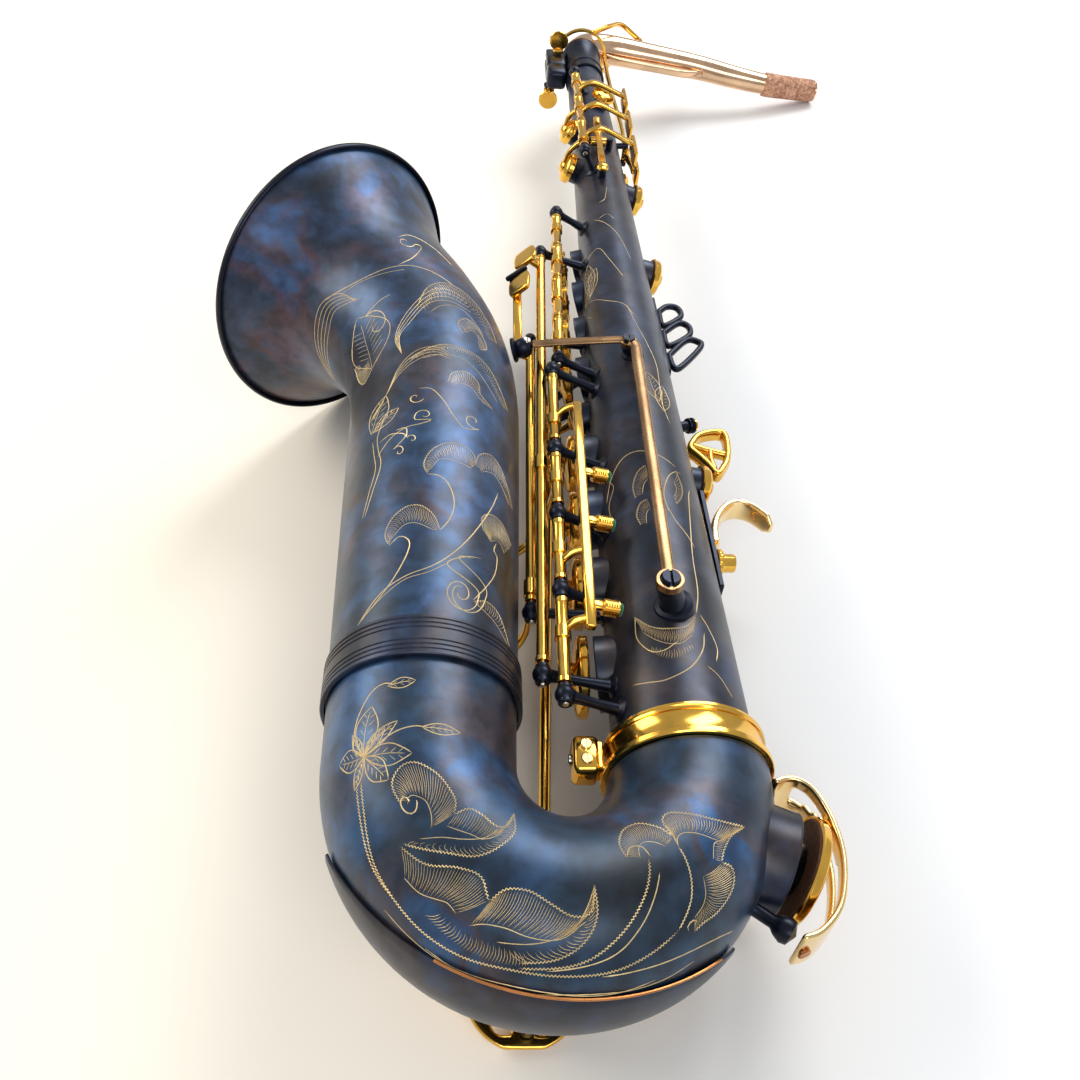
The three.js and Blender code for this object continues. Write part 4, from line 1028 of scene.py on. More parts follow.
# ---------------------------------------------------------------- keys of the stacks
def make_lower_stack():
    lower = LINES["lower_stack"]

    def helper(y):
        return lower.at(y) + v(9.5, 0, 9)
    for name, low, high in (("low_d_key", 32.4, 76.4), ("low_e_key", 87.6, 123.4),
                            ("low_f_key", 134.6, 168.4)):
        key(name, "lower_stack", low, high, "open", pearl_touch(HOLES[name]))

    parts = bar_parts([helper(56), helper(90), helper(130), helper(165), helper(200)], 4.6, 4, UP, 5)
    for y in (60, 99, 198):
        on_tube = lower.at(y)
        parts += curved([on_tube + v(1.4, 0, 2.2), on_tube + v(4.6, 0.6, 6.4), helper(y) + v(-1, 0, 0.6)],
                        4.2, 2.8, v(0.7, 0, -0.7), 3)
    for y in (68, 118, 150):
        start = helper(y) + v(1, 0, 0)
        parts += curved([helper(y), start + v(3, 0, 0.4), start + v(7, 0, -0.4)], 5, 3, UP, 3)
        tip, axis = start + v(4.6, 0, -0.4), v(1, 0, -0.05)
        drum = [(0, 0), (3.4, 0), (3.8, 0.5)]
        for i in range(5):
            drum += [(3.8, 0.8 + i * 1.1), (3.5, 1.1 + i * 1.1), (3.5, 1.4 + i * 1.1), (3.8, 1.7 + i * 1.1)]
        drum += [(3.8, 6.8), (3.2, 7.3), (2.4, 7.6), (0, 7.6)]
        parts.append((lathe(drum, tip, axis, 24), GOLD))
        parts.append((rod(tip + axis * 7.4, tip + axis * 8.6, 2.8, 20, 0.3), FELT))
    key("f_sharp_key", "lower_stack", 179.6, 230.4, "open", parts)


def make_upper_stack():
    key("g_key", "upper_stack", 257.6, 286, "open")
    for name, low, high in (("a_key", 286.8, 326), ("b_key", 326.8, 361), ("c_key", 361.8, 396.4)):
        key(name, "upper_stack", low, high, "open", pearl_touch(HOLES[name]))


def side_touch(y):
    root = LINES["back"].at(y)
    return [*curved([root, root + v(5, 0, -4.5), root + v(9, 0, -6)], 6, 2.6),
            *touch_plate(root + v(10, 0, -6), 8, 18, 3, v(0.6, 0, -0.8))]


def make_side_keys():
    back = LINES["back"]
    key("side_f_sharp_key", "back", 129, 190, "shut", side_touch(142))
    key("side_b_flat_key", "back", 191, 384, "shut", side_touch(200))
    offset = v(-5, 0, -7)
    reach = bar_parts([back.at(276) + offset, back.at(334) + offset, back.at(392) + offset], 4, 3)
    reach += bar_parts([back.at(389), back.at(389) + offset], 5, 3)
    reach += touch_plate(back.at(277) + offset, 9, 18, 3.6, UP)
    key("side_c_key", "back", 385, 480, "shut", reach)
    key("high_e_key", "back", 481, 535, "shut", side_touch(500))


def palm_touch(y):
    root = LINES["palm"].at(y)
    return [*curved([root, root + v(7, 0, 5.2), root + v(14, 0, 6), v(19, y, 27)], 5, 2.8),
            *touch_plate(v(21, y, 22), 3.2, 26, 11, UP)]


def make_palm_keys():
    for name, low, high, touch in (("palm_d_key", 471, 507, 486), ("palm_e_flat_key", 508, 546, 524),
                                   ("palm_f_key", 547, 585, 560)):
        key(name, "palm", low, high, "shut", palm_touch(touch))


def offset_reach(line, offset, start, end):
    return bar_parts([line.at(start) + offset, line.at((start + end) / 2) + offset, line.at(end) + offset],
                     4.4, 3)


def make_low_keys():
    table = v(-0.6, 0, 0.8)
    low_b, low_b_flat, bow_keys = LINES["low_b"], LINES["low_b_flat"], LINES["bow_keys"]
    plate = low_b.at(346) + v(-9, 0, 7)
    parts = bar_parts([low_b.at(347), low_b.at(347) + v(-9, 0, 7)], 6, 3, v(1, 0, 1))
    parts += touch_plate(plate, 16, 15, 3, table)
    key("low_b_key", "low_b", 48, 356, "open", parts, 8,
        [v(-46.5, 170, 0), v(-58, 170, -38), v(-80, 170, -54)])

    parts = bar_parts([low_b_flat.at(274), low_b_flat.at(274) + v(-7, 0, 3)], 5, 3)
    parts += bar_parts([v(-61, 272, 3.5), v(-60.5, 297, 8.8), v(-60, 322, 14)], 5, 3)
    parts += touch_plate(v(-58.6, 322, 17), 15, 18, 3, table)
    parts += [(rod(v(-66, 331.5, 14), v(-54, 331.5, 22), 1.6, 18, 0.6), BLACK)]
    key("low_b_flat_key", "low_b_flat", 92, 282, "open", parts, 8, [v(-64, 100, -34), v(-82, 100, -54)])

    key("low_c_sharp_key", "low_c_sharp", -53, 280, "shut", (), 8)

    parts = offset_reach(bow_keys, v(8, 0, -2), 4, 56)
    parts += bar_parts([bow_keys.at(6), bow_keys.at(6) + v(9, 0, -2)], 5, 3)
    parts += touch_plate(v(20, 52, -49), 16, 18, 3, v(0.2, 0, -1))
    key("low_c_key", "bow_keys", -23.4, 19, "open", parts, 8, [v(37, -24, -36)])

    parts = offset_reach(bow_keys, v(-8, 0, -3), -40, 82)
    parts += bar_parts([bow_keys.at(-40), bow_keys.at(-40) + v(-9, 0, -3)], 5, 3)
    parts += touch_plate(v(7, 78, -51.5), 18, 16, 3, UP)
    key("low_e_flat_key", "bow_keys", -43.6, -24, "shut", parts, 8)
    key("g_sharp_key", "g_sharp", 222, 246, "shut")


def make_octave_levers():
    start, end = ROCKER_ROD
    centre = start.lerp(end, 0.5)
    parts = [(collar(2.8, 1.1, 5.4, 15.6, start, v(1, 0, 0), 24), GOLD)]
    parts += curved([centre + v(0, 26, 5), centre + v(0, 12, 3.4), centre + v(0, 0, 2.6), v(-2.8, 474, 24.6),
                     v(-3, 450, 25.2)], 4.6, 2.4, UP, 3)
    parts += bar_parts([centre + v(-5.2, 0, 2.2), centre + v(5, 0, 2.2)], 5, 2.2, UP, 3)
    parts.append((lathe([(0, 0), (3.4, 0), (4, 0.7), (4, 2.4), (2.6, 3.8), (0, 4.2)], v(-3, 455, 23), UP,
                        24), GOLD))
    parts.append((rod(v(-3, 455, 22.65), v(-3, 455, 23.4), 3.3, 20, 0.2), LEATHER))
    dress("octave_rocker", parts, "octave_rocker")

    parts = [(collar(2.8, 1.1, 4, 12.8, THUMB_ROD[0], UP, 24), GOLD)]
    parts += curved([v(21, 522, 0), v(22.5, 546, 0), v(22.5, 570, 0), v(20.5, 612, 0), v(19.4, 650, 0),
                     v(19.2, 686, 0)], 3, 6, UP, 3)
    parts += curved([v(25.6, 500, 0), v(24.4, 512, 0), v(21.6, 524, 0)], 3, 5, UP, 3)
    parts += touch_plate(v(27, 496, 0), 3, 16, 13, UP)
    dress("thumb_octave_lever", parts, "thumb_octave_lever")

    rest = lathe([(0, 0), (6.6, 0), (7, 0.6), (7, 2.6), (6, 3.8), (3, 4.7), (0, 5)], v(17.7, 492, -12),
                 v(4.3, 0, -3), 32)
    dress("thumb_rest", [(rest, BLACK)])


# ---------------------------------------------------------------- braces, ring, hook and guards
def make_braces():
    post = v(-60.5, 254.6, 20)
    stem = [(0, 0), (6.6, 0), (6.6, 1.2), (5.6, 2), (3.4, 2.6), (3, 6), (0, 6)]
    black = [(ball(post, 5.6, 24), BLACK), (lathe(stem, v(-65.8, 254.6, 18.1), v(5.3, 0, 1.9), 28), BLACK),
             (screw_head(post + v(1.5, 0, 5), v(0.3, 0, 1), 2.2, 1), STEEL)]
    dress("brace_bell_post", black)
    route = [v(-55.2, 254.4, 23.2), v(-40, 253.4, 26.2), v(-24, 252.2, 29.2), v(-9, 251.4, 31.5),
             v(-4.2, 249.4, 32.1), v(-2.4, 244.5, 32.3), v(-2.6, 236, 32.8), v(-4, 180, 35.8),
             v(-5.4, 120, 38.9), v(-6.7, 70, 41.8)]
    # the brace strap and its collars take the darker gold: painted shade
    strap = [(sweep(smooth(route, 8), 2.9, 1.3, 20, 2.3), SHADED_GOLD)]
    strap.append((lathe(round_profile(4.6, -1.2, 1.2), BRACE_UPPER + v(0, 0, 1), UP, 28), SHADED_GOLD))
    strap.append((screw_head(BRACE_UPPER + v(0, 0, 2.2), UP, 3.4, 2, 0.45), BLACK))
    strap.append((collar(5.9, 4.5, -1.6, 2.2, BRACE_LOWER, v(-0.05, 0, 1), 40), SHADED_GOLD))
    strap.append((lathe(round_profile(5.8, -1.6, 0.4), BRACE_LOWER, v(-0.05, 0, 1), 36), SHADED_GOLD))
    dress("bell_brace", strap)
    dress("brace_lower_screw", [(screw_head(BRACE_LOWER + v(0, 0, 0.6), UP, 4.3, 3.4, 0.7), BLACK)])


STRAP_WINDOWS = (
    ((28, 333.6), (32, 338.2), (36.4, 338.4), (38, 334), (36.6, 329.6), (28.2, 321.6)),
    ((28.4, 312.6), (36.6, 321.2), (41, 320.2), (41.6, 315), (39, 310.6), (29.2, 301.4)),
    ((29.2, 291), (39, 304), (44.8, 304.6), (46, 299.4), (34, 282), (29.8, 281)),
)


def make_strap_ring():
    spine = [v(body_radius(y) + 1.7, y, -5) for y in (271, 285, 300, 315, 330, 343)]
    parts = [(sweep(smooth(spine, 4), 1.9, 4.4, 16, 4), BLACK)]
    for window in STRAP_WINDOWS:
        points = [v(x, y, -5) for x, y in window]
        centre = sum(points, v(0, 0, 0)) / len(points)
        spread = [point + (point - centre).normalized() * 1.9 for point in points]
        loop = smooth([*spread, spread[0]], 6)[:-1]
        parts.append((sweep(loop, 1.75, 1.9, 12, 2.6, UP, True), BLACK))
    dress("strap_ring", parts)


def make_thumb_hook():
    plate = [v(28.9, 104.5, -5), v(28.5, 134, -5), v(28, 167.5, -5)]
    dress("thumb_hook_plate", [(sweep(plate, 1.4, 8.4, 20, 6), BLACK)])
    route = smooth([v(32.2, 138, -7), v(32.9, 147, -7), v(35.6, 155.4, -7), v(41, 163, -7), v(48, 166.2, -7),
                    v(54.4, 164.2, -7), v(60, 158.6, -7), v(63.2, 153.4, -7)], 8)

    def broad(t):
        return 6.5 * min(1, 0.9 + 0.1 * math.sin(math.pi * t), 0.45 + 5 * (1 - t))

    def thick(t):
        return 2.2 - 0.9 * t
    hook = [(sweep(route, thick, broad, 24, 3.4, UP), PALE_GOLD)]
    hook.append((rod(v(29.6, 142, -7), v(32.4, 142, -7), 4.6, 24), GOLD))
    dress("thumb_hook", hook)
    axis, centre = v(1, 0, 0), v(30.7, 126, -5)
    knurls = [(0, 0), (6.2, 0.2), (6.5, 0.6), (6.5, 2.2), (6.2, 2.8), (4.7, 3), (4.5, 3.4), (4.5, 8.4),
              (4, 9.2), (2.4, 9.2), (2.2, 8), (0, 8)]
    screw = [(lathe(knurls, centre, axis, 32), GOLD)]
    for i in range(16):
        angle = 2 * math.pi * i / 16
        out = centre + v(0, math.cos(angle), math.sin(angle)) * 6.2
        screw.append((rod(out + axis * 0.4, out + axis * 2.4, 0.55, 8, 0.1), GOLD))
    dress("thumb_hook_screw", screw, "thumb_hook_screw")


def frame_bar(points, z, depth, width, closed=False):
    """A cast band that stands on edge: `depth` along Z, bent through (x, y) points."""
    path = smooth([v(x, y, z) for x, y in (*points, points[0])[:len(points) + closed]], 7)
    return (sweep(path[:-1] if closed else path, width / 2, depth / 2, 18, 2.8, UP, closed), GOLD)


def make_side_guard():
    rim = ((31, 215), (36, 222.6), (44, 226.2), (50.6, 225.6), (51, 215), (49.2, 204.6), (45.8, 197.4),
           (42.2, 193), (38.6, 199.8), (34, 207), (30.8, 211.4))
    parts = [frame_bar(rim, -9.5, 7.4, 3.9, True),
             frame_bar([(32.6, 215), (38.4, 212.6), (44.4, 210.6), (50, 209)], -9.5, 5.4, 4),
             frame_bar([(41.2, 211.6), (40.6, 205), (41.6, 197)], -9.5, 5.4, 3.2)]
    dress("side_key_guard", parts)
    end = v(4.8, 1.9, -0.5)
    post = [(rod(v(24, 229.6, -8.5), v(32.4, 232.8, -9.5), 3, 24), BLACK),
            (lathe([(0, 0), (4.2, 0), (4.4, 0.8), (3.6, 1.6), (4.4, 2.4), (4.4, 3.4), (0, 3.4)],
                   v(31.6, 232.5, -9.4), end, 28), BLACK),
                   (screw_head(v(34.8, 233.8, -9.7), end, 3.6, 1.8), GOLD)]
    dress("side_guard_post", post)


def make_low_c_guard():
    """An arched guard whose windows leave a slanted strut."""
    outline = [(33.2, -1.6), (38, 0.2), (43.8, -0.3), (49, -5.4), (53.2, -18.2), (53.8, -34), (48.9, -51.6),
               (39.6, -62), (31.8, -65)]
    path = [v(p.x, p.y, -4) for p in smooth([v(x, y, 0) for x, y in outline], 4)]
    rows = 10
    skip = set()
    for i in range(len(path) - 1):
        for j in range(3, rows - 3):
            strut = 11 + (j - 3) * 1.4
            if 7 <= i < strut or strut + 4 < i <= 24:
                skip.add((i, j))
    add_sheet("low_c_guard_dressed", strip(path, v(0, 0, 11), 2.6, rows, skip), PALE_GOLD, "body",
              ["low_c_guard"])
    screws = [screw_head(v(34.6, -0.4, 3.4), ALONG, 2.2, 1),
              screw_head(v(34.4, -65.8, -4), v(0.4, -1, 0), 2.6, 1.2),
              screw_head(v(35.6, -0.2, -10), ALONG, 2.2, 1)]
    add("guard_screws", made_of(COPPER, screws))


def make_bow_key_guard():
    """A boat-shaped shield with four openings, its edges turned up towards the bow."""
    middle, top, length = -61, -47, 30.6
    path = [v(middle, top - length * i / 11, 0) for i in range(12)]
    skip = {(i, j) for i in (2, 3, 4, 7, 8) for j in (2, 3, 7, 8)}
    verts, faces, thickness = strip(path, v(25, 0, 0), 2.4, 11, skip)
    boat = []
    for point in verts:
        share = max(0, min(1, (top - point.y) / length))
        side = (point.x - middle) * math.sqrt(1 - 0.9 * share ** 2.6)
        boat.append(v(middle + side, point.y, -64.6 + 2.6 * (side / 22) ** 2))
    add_sheet("bow_key_guard_dressed", (boat, faces, thickness), GOLD, "body", ["bow_key_guard"])
    add("bow_guard_screw", [(screw_head(v(-60, -71, -65.4), v(0, 0, -1), 2.8, 0.7), COPPER)])


# ---------------------------------------------------------------- engraving
class Engraver:
    """Strokes on a surface, through (share along, degrees round) points. `square` is the share
    that looks as long as one degree looks wide."""

    def __init__(self, place, radius, square):
        self.place, self.radius, self.square = place, radius, square
        self.verts, self.faces = [], []

    def stroke(self, points, width=0.62, wriggle=0.0, steps=7):
        flat = smooth([v(t, degrees, 0) for t, degrees in points], steps)
        line = [surface_point(self.place, self.radius, p.x, p.y) for p in flat]
        route = Route(line)
        count = max(4, int(route.length / (0.62 if wriggle else 1.4)))
        first = len(self.verts)
        for i in range(count + 1):
            share = i / count
            p = flat_at(flat, route, share)
            out = surface_point(self.place, self.radius, p.x, p.y, 1)
            on = surface_point(self.place, self.radius, p.x, p.y)
            normal = (out - on).normalized()
            ahead, behind = route.point(min(share + 0.5 / count, 1)), route.point(max(share - 0.5 / count,
                                                                                      0))
            side = normal.cross(ahead - behind).normalized()
            shift = wriggle * (1 if i % 2 else -1)
            half = width * 0.68 * max(0.12, min(1, 5 * math.sin(math.pi * share) ** 0.8))
            middle = on + side * shift
            self.verts += [middle - side * half - normal * 0.1, middle + normal * 0.09,
                           middle + side * half - normal * 0.1]
        for i in range(count):
            a, b = first + 3 * i, first + 3 * i + 3
            self.faces += [(a, a + 1, b + 1, b), (a + 1, a + 2, b + 2, b + 1), (a + 2, a, b, b + 2)]
        self.faces += [(first, first + 2, first + 1),
                       (first + 3 * count, first + 3 * count + 1, first + 3 * count + 2)]

    def fan(self, edge, spine, count, reach=(0.04, 0.97), outline=True):
        """Hatch lines from the spine to a wriggled edge."""
        rim, root = (smooth([v(t, degrees, 0) for t, degrees in points], 8) for points in (edge, spine))
        if outline:
            self.stroke(edge, 0.52, 0.3)
            self.stroke(spine, 0.36)
        count = int(count * HATCH)
        for k in range(count):
            share = (k + 0.5) / count
            a, b = along_points(root, share), along_points(rim, share)
            start, end = a.lerp(b, reach[0] + 0.12 * (k % 2)), a.lerp(b, reach[1])
            swing = along_points(rim, min(share + 0.05, 1)) - b
            bend = start.lerp(end, 0.5) + swing * 0.35
            self.stroke([(start.x, start.y), (bend.x, bend.y), (end.x, end.y)], 0.24, 0, 4)

    def volute(self, centre, size, start, turns, tail=()):
        """A spiral: size is (share, degrees) of its outer turn, start its outer angle in degrees."""
        points = list(tail)
        steps = int(10 * abs(turns)) + 2
        for i in range(steps + 1):
            angle = math.radians(start) + 2 * math.pi * turns * i / steps
            scale = 1 - 0.9 * i / steps
            points.append((centre[0] + size[0] * scale * math.sin(angle),
                           centre[1] + size[1] * scale * math.cos(angle)))
        self.stroke(points, 0.6)

    def petal(self, base, tip, width, veins=3):
        """A pointed petal with a midrib and short veins."""
        run = (tip[0] - base[0], tip[1] - base[1])
        across = (-run[1] * self.square, run[0] / self.square)

        def at(share, side):
            return (base[0] + run[0] * share + across[0] * side * width,
                    base[1] + run[1] * share + across[1] * side * width)
        for side in (1, -1):
            self.stroke([base, at(0.3, 0.8 * side), at(0.58, side), at(0.84, 0.5 * side), tip], 0.55)
        self.stroke([base, at(0.5, 0.1), at(0.86, 0)], 0.4)
        for k in range(veins):
            share = 0.22 + 0.5 * k / max(veins - 1, 1)
            for side in (1, -1):
                self.stroke([at(share, 0.1 * side), at(share + 0.13, 0.62 * side)], 0.3)

    def finish(self, name):
        add(name, [((self.verts, self.faces), ENGRAVED)])


def along_points(points, share):
    at = share * (len(points) - 1)
    i = min(int(at), len(points) - 2)
    return points[i].lerp(points[i + 1], at - i)


def flat_at(flat, route, share):
    """The surface coordinates at a share of the stroke's length."""
    target = share * route.length
    for i in range(1, len(flat)):
        if route.lengths[i] >= target:
            span = route.lengths[i] - route.lengths[i - 1]
            return flat[i - 1].lerp(flat[i], (target - route.lengths[i - 1]) / span if span else 0)
    return flat[-1]


def engrave_bow():
    bow = Engraver(bow_place, bow_radius, 0.0032)
    centre = (0.826, 124)
    for tip, width in (((0.905, 119), 0.28), ((0.868, 103), 0.13), ((0.806, 97), 0.2), ((0.778, 113), 0.3),
                       ((0.79, 134), 0.16), ((0.835, 142), 0.26), ((0.866, 131), 0.18), ((0.86, 110), 0.16)):
        bow.petal(centre, tip, width, 4)
    bow.volute(centre, (0.008, 2.6), 0, 1)
    bow.stroke([(0.84, 131), (0.89, 128), (0.93, 121), (0.945, 113), (0.94, 106)])
    bow.petal((0.938, 110), (0.945, 94), 0.2)
    bow.stroke([(0.835, 116), (0.85, 104), (0.855, 94), (0.852, 88)])
    bow.petal((0.852, 90), (0.842, 68), 0.17, 4)
    for shift in (0, 3.2):
        bow.stroke([(0.8, 128 + shift), (0.755, 133 + shift), (0.7, 142 + shift * 0.6), (0.655, 146),
                    (0.61, 149), (0.56, 149), (0.51, 146), (0.455, 145), (0.4, 144), (0.355, 140),
                    (0.31, 134)], 0.56, 0.32)
    bow.fan([(0.735, 112), (0.77, 112), (0.79, 104), (0.785, 95), (0.75, 87), (0.7, 86), (0.675, 92)],
            [(0.735, 109), (0.74, 106), (0.735, 103), (0.72, 100), (0.7, 101), (0.685, 104), (0.68, 106)],
            30)
    bow.volute((0.733, 109), (0.022, 5.2), 190, 1.2)
    bow.fan([(0.675, 92), (0.668, 83), (0.64, 80), (0.61, 80), (0.592, 76), (0.6, 65)],
            [(0.668, 99), (0.65, 96), (0.63, 93), (0.61, 91), (0.595, 85), (0.59, 80)], 20)
    bow.fan([(0.6, 65), (0.572, 76), (0.578, 88), (0.6, 100), (0.64, 109), (0.69, 122)],
            [(0.6, 80), (0.605, 87), (0.615, 92), (0.635, 98), (0.66, 105), (0.68, 114)], 22, (0.4, 0.96))
    bow.fan([(0.69, 124), (0.65, 120), (0.615, 111), (0.58, 108), (0.555, 117)],
            [(0.66, 133), (0.635, 133), (0.615, 130), (0.6, 128), (0.585, 130)], 26)
    bow.fan([(0.555, 117), (0.54, 108), (0.508, 105), (0.475, 109), (0.445, 114), (0.42, 112), (0.41, 98)],
            [(0.565, 132), (0.55, 128), (0.525, 126), (0.5, 127), (0.475, 127), (0.455, 125), (0.435, 119)],
            36)
    bow.fan([(0.41, 98), (0.412, 114), (0.43, 127), (0.46, 136), (0.5, 141)],
            [(0.425, 116), (0.44, 120), (0.46, 125), (0.49, 130), (0.53, 134)], 18, (0.35, 0.96))
    bow.fan([(0.62, 141), (0.57, 145), (0.53, 146), (0.49, 143)],
            [(0.6, 133), (0.565, 135), (0.53, 134), (0.5, 135)], 24, (0.1, 0.9), False)
    bow.stroke([(0.5, 144), (0.435, 138), (0.39, 127), (0.345, 112), (0.318, 101), (0.302, 92)], 0.56, 0.32)
    bow.stroke([(0.47, 143), (0.4, 136), (0.36, 125), (0.325, 112), (0.3, 102)], 0.5)
    bow.fan([(0.338, 87), (0.335, 77), (0.305, 69), (0.265, 70), (0.242, 80), (0.237, 91)],
            [(0.315, 90), (0.31, 86), (0.3, 83), (0.285, 83), (0.27, 87), (0.262, 92)], 28)
    bow.stroke([(0.338, 87), (0.322, 82), (0.3, 84), (0.297, 92)], 0.55)
    bow.fan([(0.237, 91), (0.225, 80), (0.2, 79), (0.178, 90), (0.163, 103), (0.148, 116), (0.138, 124)],
            [(0.245, 97), (0.235, 93), (0.22, 93), (0.205, 98), (0.195, 105), (0.19, 110), (0.185, 113)], 32)
    bow.fan([(0.138, 124), (0.165, 118), (0.19, 118), (0.208, 121)],
            [(0.185, 113), (0.195, 111), (0.205, 113), (0.215, 116)], 12)
    bow.fan([(0.208, 121), (0.2, 129), (0.215, 137), (0.25, 140), (0.275, 139), (0.292, 140)],
            [(0.245, 118), (0.25, 122), (0.255, 126), (0.262, 129), (0.27, 131), (0.285, 133)], 26)
    bow.volute((0.288, 136), (0.012, 3.4), 60, 0.8)
    bow.stroke([(0.31, 134), (0.28, 124), (0.262, 114), (0.25, 104), (0.245, 97)], 0.6, 0.2)
    bow.stroke([(0.41, 146), (0.36, 147), (0.3, 150), (0.262, 155), (0.235, 162)], 0.55)
    for degrees, start, end in ((156.5, 0.35, 0.66), (157.6, 0.3, 0.6)):
        bow.stroke([(start + (end - start) * i / 8, degrees + 1.5 * math.sin(i * 1.3)) for i in range(9)],
                   0.45)
    bow.finish("bow_engraving")


def engrave_bell():
    bell = Engraver(BELL.place, bell_radius, 0.0022)
    bell.stroke([(0.06, 133), (0.095, 118), (0.115, 103), (0.13, 88), (0.155, 76), (0.195, 64), (0.26, 50),
                 (0.3, 44)], 0.65)
    bell.stroke([(0.06, 133), (0.09, 116), (0.11, 103), (0.12, 90), (0.14, 77)], 0.45)
    bell.stroke([(0.06, 133), (0.085, 120), (0.115, 110), (0.15, 103), (0.172, 102), (0.182, 108),
                 (0.17, 114)], 0.6)
    bell.fan([(0.17, 114), (0.19, 117.5), (0.215, 114), (0.232, 105), (0.232, 96), (0.215, 88), (0.19, 84)],
             [(0.183, 112), (0.19, 110), (0.2, 106), (0.203, 101), (0.2, 96), (0.195, 92), (0.19, 88)], 30)
    bell.stroke([(0.19, 84), (0.215, 78), (0.245, 76), (0.275, 80), (0.288, 86), (0.29, 93)], 0.6)
    bell.fan([(0.29, 93), (0.31, 95.5), (0.335, 91.5), (0.352, 83), (0.356, 72), (0.345, 64), (0.325, 63)],
             [(0.3, 91), (0.31, 89), (0.32, 86), (0.322, 80), (0.32, 74), (0.318, 69), (0.316, 66)], 32)
    bell.fan([(0.325, 63), (0.35, 60), (0.362, 51), (0.352, 42), (0.325, 33), (0.3, 27)],
             [(0.318, 58), (0.325, 54), (0.328, 48), (0.322, 43), (0.312, 38), (0.3, 33)], 24)
    bell.fan([(0.212, 56), (0.235, 57), (0.25, 49), (0.247, 38), (0.228, 28)],
             [(0.2, 50), (0.205, 48), (0.21, 45), (0.21, 41), (0.2, 37)], 26)
    bell.stroke([(0.205, 45), (0.19, 47), (0.18, 44), (0.15, 46), (0.12, 53), (0.09, 62)], 0.6)
    bell.volute((0.095, 70), (0.03, 12), 150, 1.7, [(0.163, 57), (0.155, 68), (0.135, 79)])
    bell.volute((0.1, 69), (0.048, 17), 155, 0.75, [(0.158, 62), (0.15, 72)])
    bell.fan([(0.088, 62), (0.098, 52), (0.092, 42), (0.07, 33), (0.055, 28)],
             [(0.088, 61), (0.08, 52), (0.075, 46), (0.065, 38), (0.055, 30)], 16, (0.1, 0.96))
    bell.stroke([(0.24, 134), (0.28, 129), (0.325, 124), (0.36, 127), (0.39, 128), (0.43, 122)], 0.6)
    bell.stroke([(0.24, 136), (0.28, 132), (0.32, 128), (0.352, 130), (0.38, 132)], 0.5)
    bell.volute((0.408, 97), (0.014, 6.5), 320, 1.1,
                [(0.345, 127), (0.372, 118), (0.386, 108), (0.39, 99), (0.398, 92)])
    bell.volute((0.447, 103), (0.013, 5.5), 200, 1)
    bell.volute((0.413, 65), (0.016, 7), 230, 1.1,
                [(0.466, 101), (0.464, 93), (0.44, 85), (0.41, 78), (0.392, 71)])
    bell.volute((0.34, 112), (0.013, 4.5), 30, 1, [(0.372, 126), (0.38, 118), (0.37, 108)])
    bell.volute((0.36, 104), (0.01, 4), 30, 0.9, [(0.385, 115), (0.385, 108)])
    bell.petal((0.4, 134), (0.47, 124), 0.22, 4)
    bell.petal((0.4, 132), (0.432, 114), 0.2, 4)
    for lift in range(4):
        bell.stroke([(0.43, 133 + lift), (0.47, 124), (0.505 + lift * 0.006, 116),
                     (0.53 + lift * 0.008, 105), (0.543 + lift * 0.006, 92), (0.535 + lift * 0.004, 81)],
                     0.42)
    bell.fan([(0.535, 110), (0.565, 90), (0.565, 70), (0.548, 54), (0.51, 40), (0.49, 34)],
             [(0.535, 100), (0.545, 84), (0.54, 72), (0.525, 62), (0.505, 54), (0.485, 46)], 40,
             (0.35, 0.95))
    bell.fan([(0.48, 83), (0.505, 80), (0.515, 70), (0.5, 62), (0.478, 60), (0.46, 50)],
             [(0.48, 80), (0.485, 76), (0.487, 71), (0.482, 66), (0.47, 62), (0.462, 57)], 22)
    for lift in range(4):
        bell.stroke([(0.555, 114), (0.6, 118 - lift), (0.645 - lift * 0.006, 110 - lift),
                     (0.69 - lift * 0.008, 92), (0.705 - lift * 0.01, 77), (0.69 - lift * 0.01, 62)], 0.42)
    bell.fan([(0.66, 100), (0.705, 88), (0.72, 72), (0.7, 56), (0.66, 46), (0.62, 42)],
             [(0.645, 92), (0.66, 84), (0.665, 74), (0.655, 66), (0.635, 60), (0.615, 55)], 34, (0.3, 0.95))
    bell.fan([(0.6, 72), (0.625, 74), (0.64, 66), (0.62, 58), (0.59, 54), (0.578, 60)],
             [(0.605, 69), (0.612, 67), (0.615, 64), (0.61, 61), (0.6, 60), (0.59, 61)], 20)
    bell.volute((0.665, 130), (0.042, 12), 70, 0.9, [(0.715, 112), (0.715, 120)])
    bell.petal((0.56, 138), (0.72, 140), 0.26, 7)
    bell.fan([(0.56, 138), (0.54, 146), (0.57, 154), (0.62, 158)],
             [(0.59, 141), (0.585, 145), (0.59, 149), (0.61, 152)], 16)
    for lift in range(5):
        bell.stroke([(0.79 - lift * 0.004, 202), (0.82 - lift * 0.01, 182), (0.832 - lift * 0.012, 163),
                     (0.83 - lift * 0.01, 149), (0.8 - lift * 0.008, 137), (0.755, 134 - lift)], 0.42)
    bell.stroke([(0.83, 149), (0.8, 132), (0.785, 118), (0.775, 100), (0.765, 88), (0.745, 77), (0.715, 66)],
                0.6)
    bell.stroke([(0.8, 140), (0.785, 124), (0.77, 108), (0.76, 95)], 0.4)
    bell.volute((0.826, 80), (0.016, 6), 210, 1, [(0.775, 96), (0.785, 84), (0.81, 72)])
    bell.stroke([(0.84, 82), (0.842, 72), (0.82, 62), (0.78, 54)], 0.5)
    bell.finish("bell_engraving")


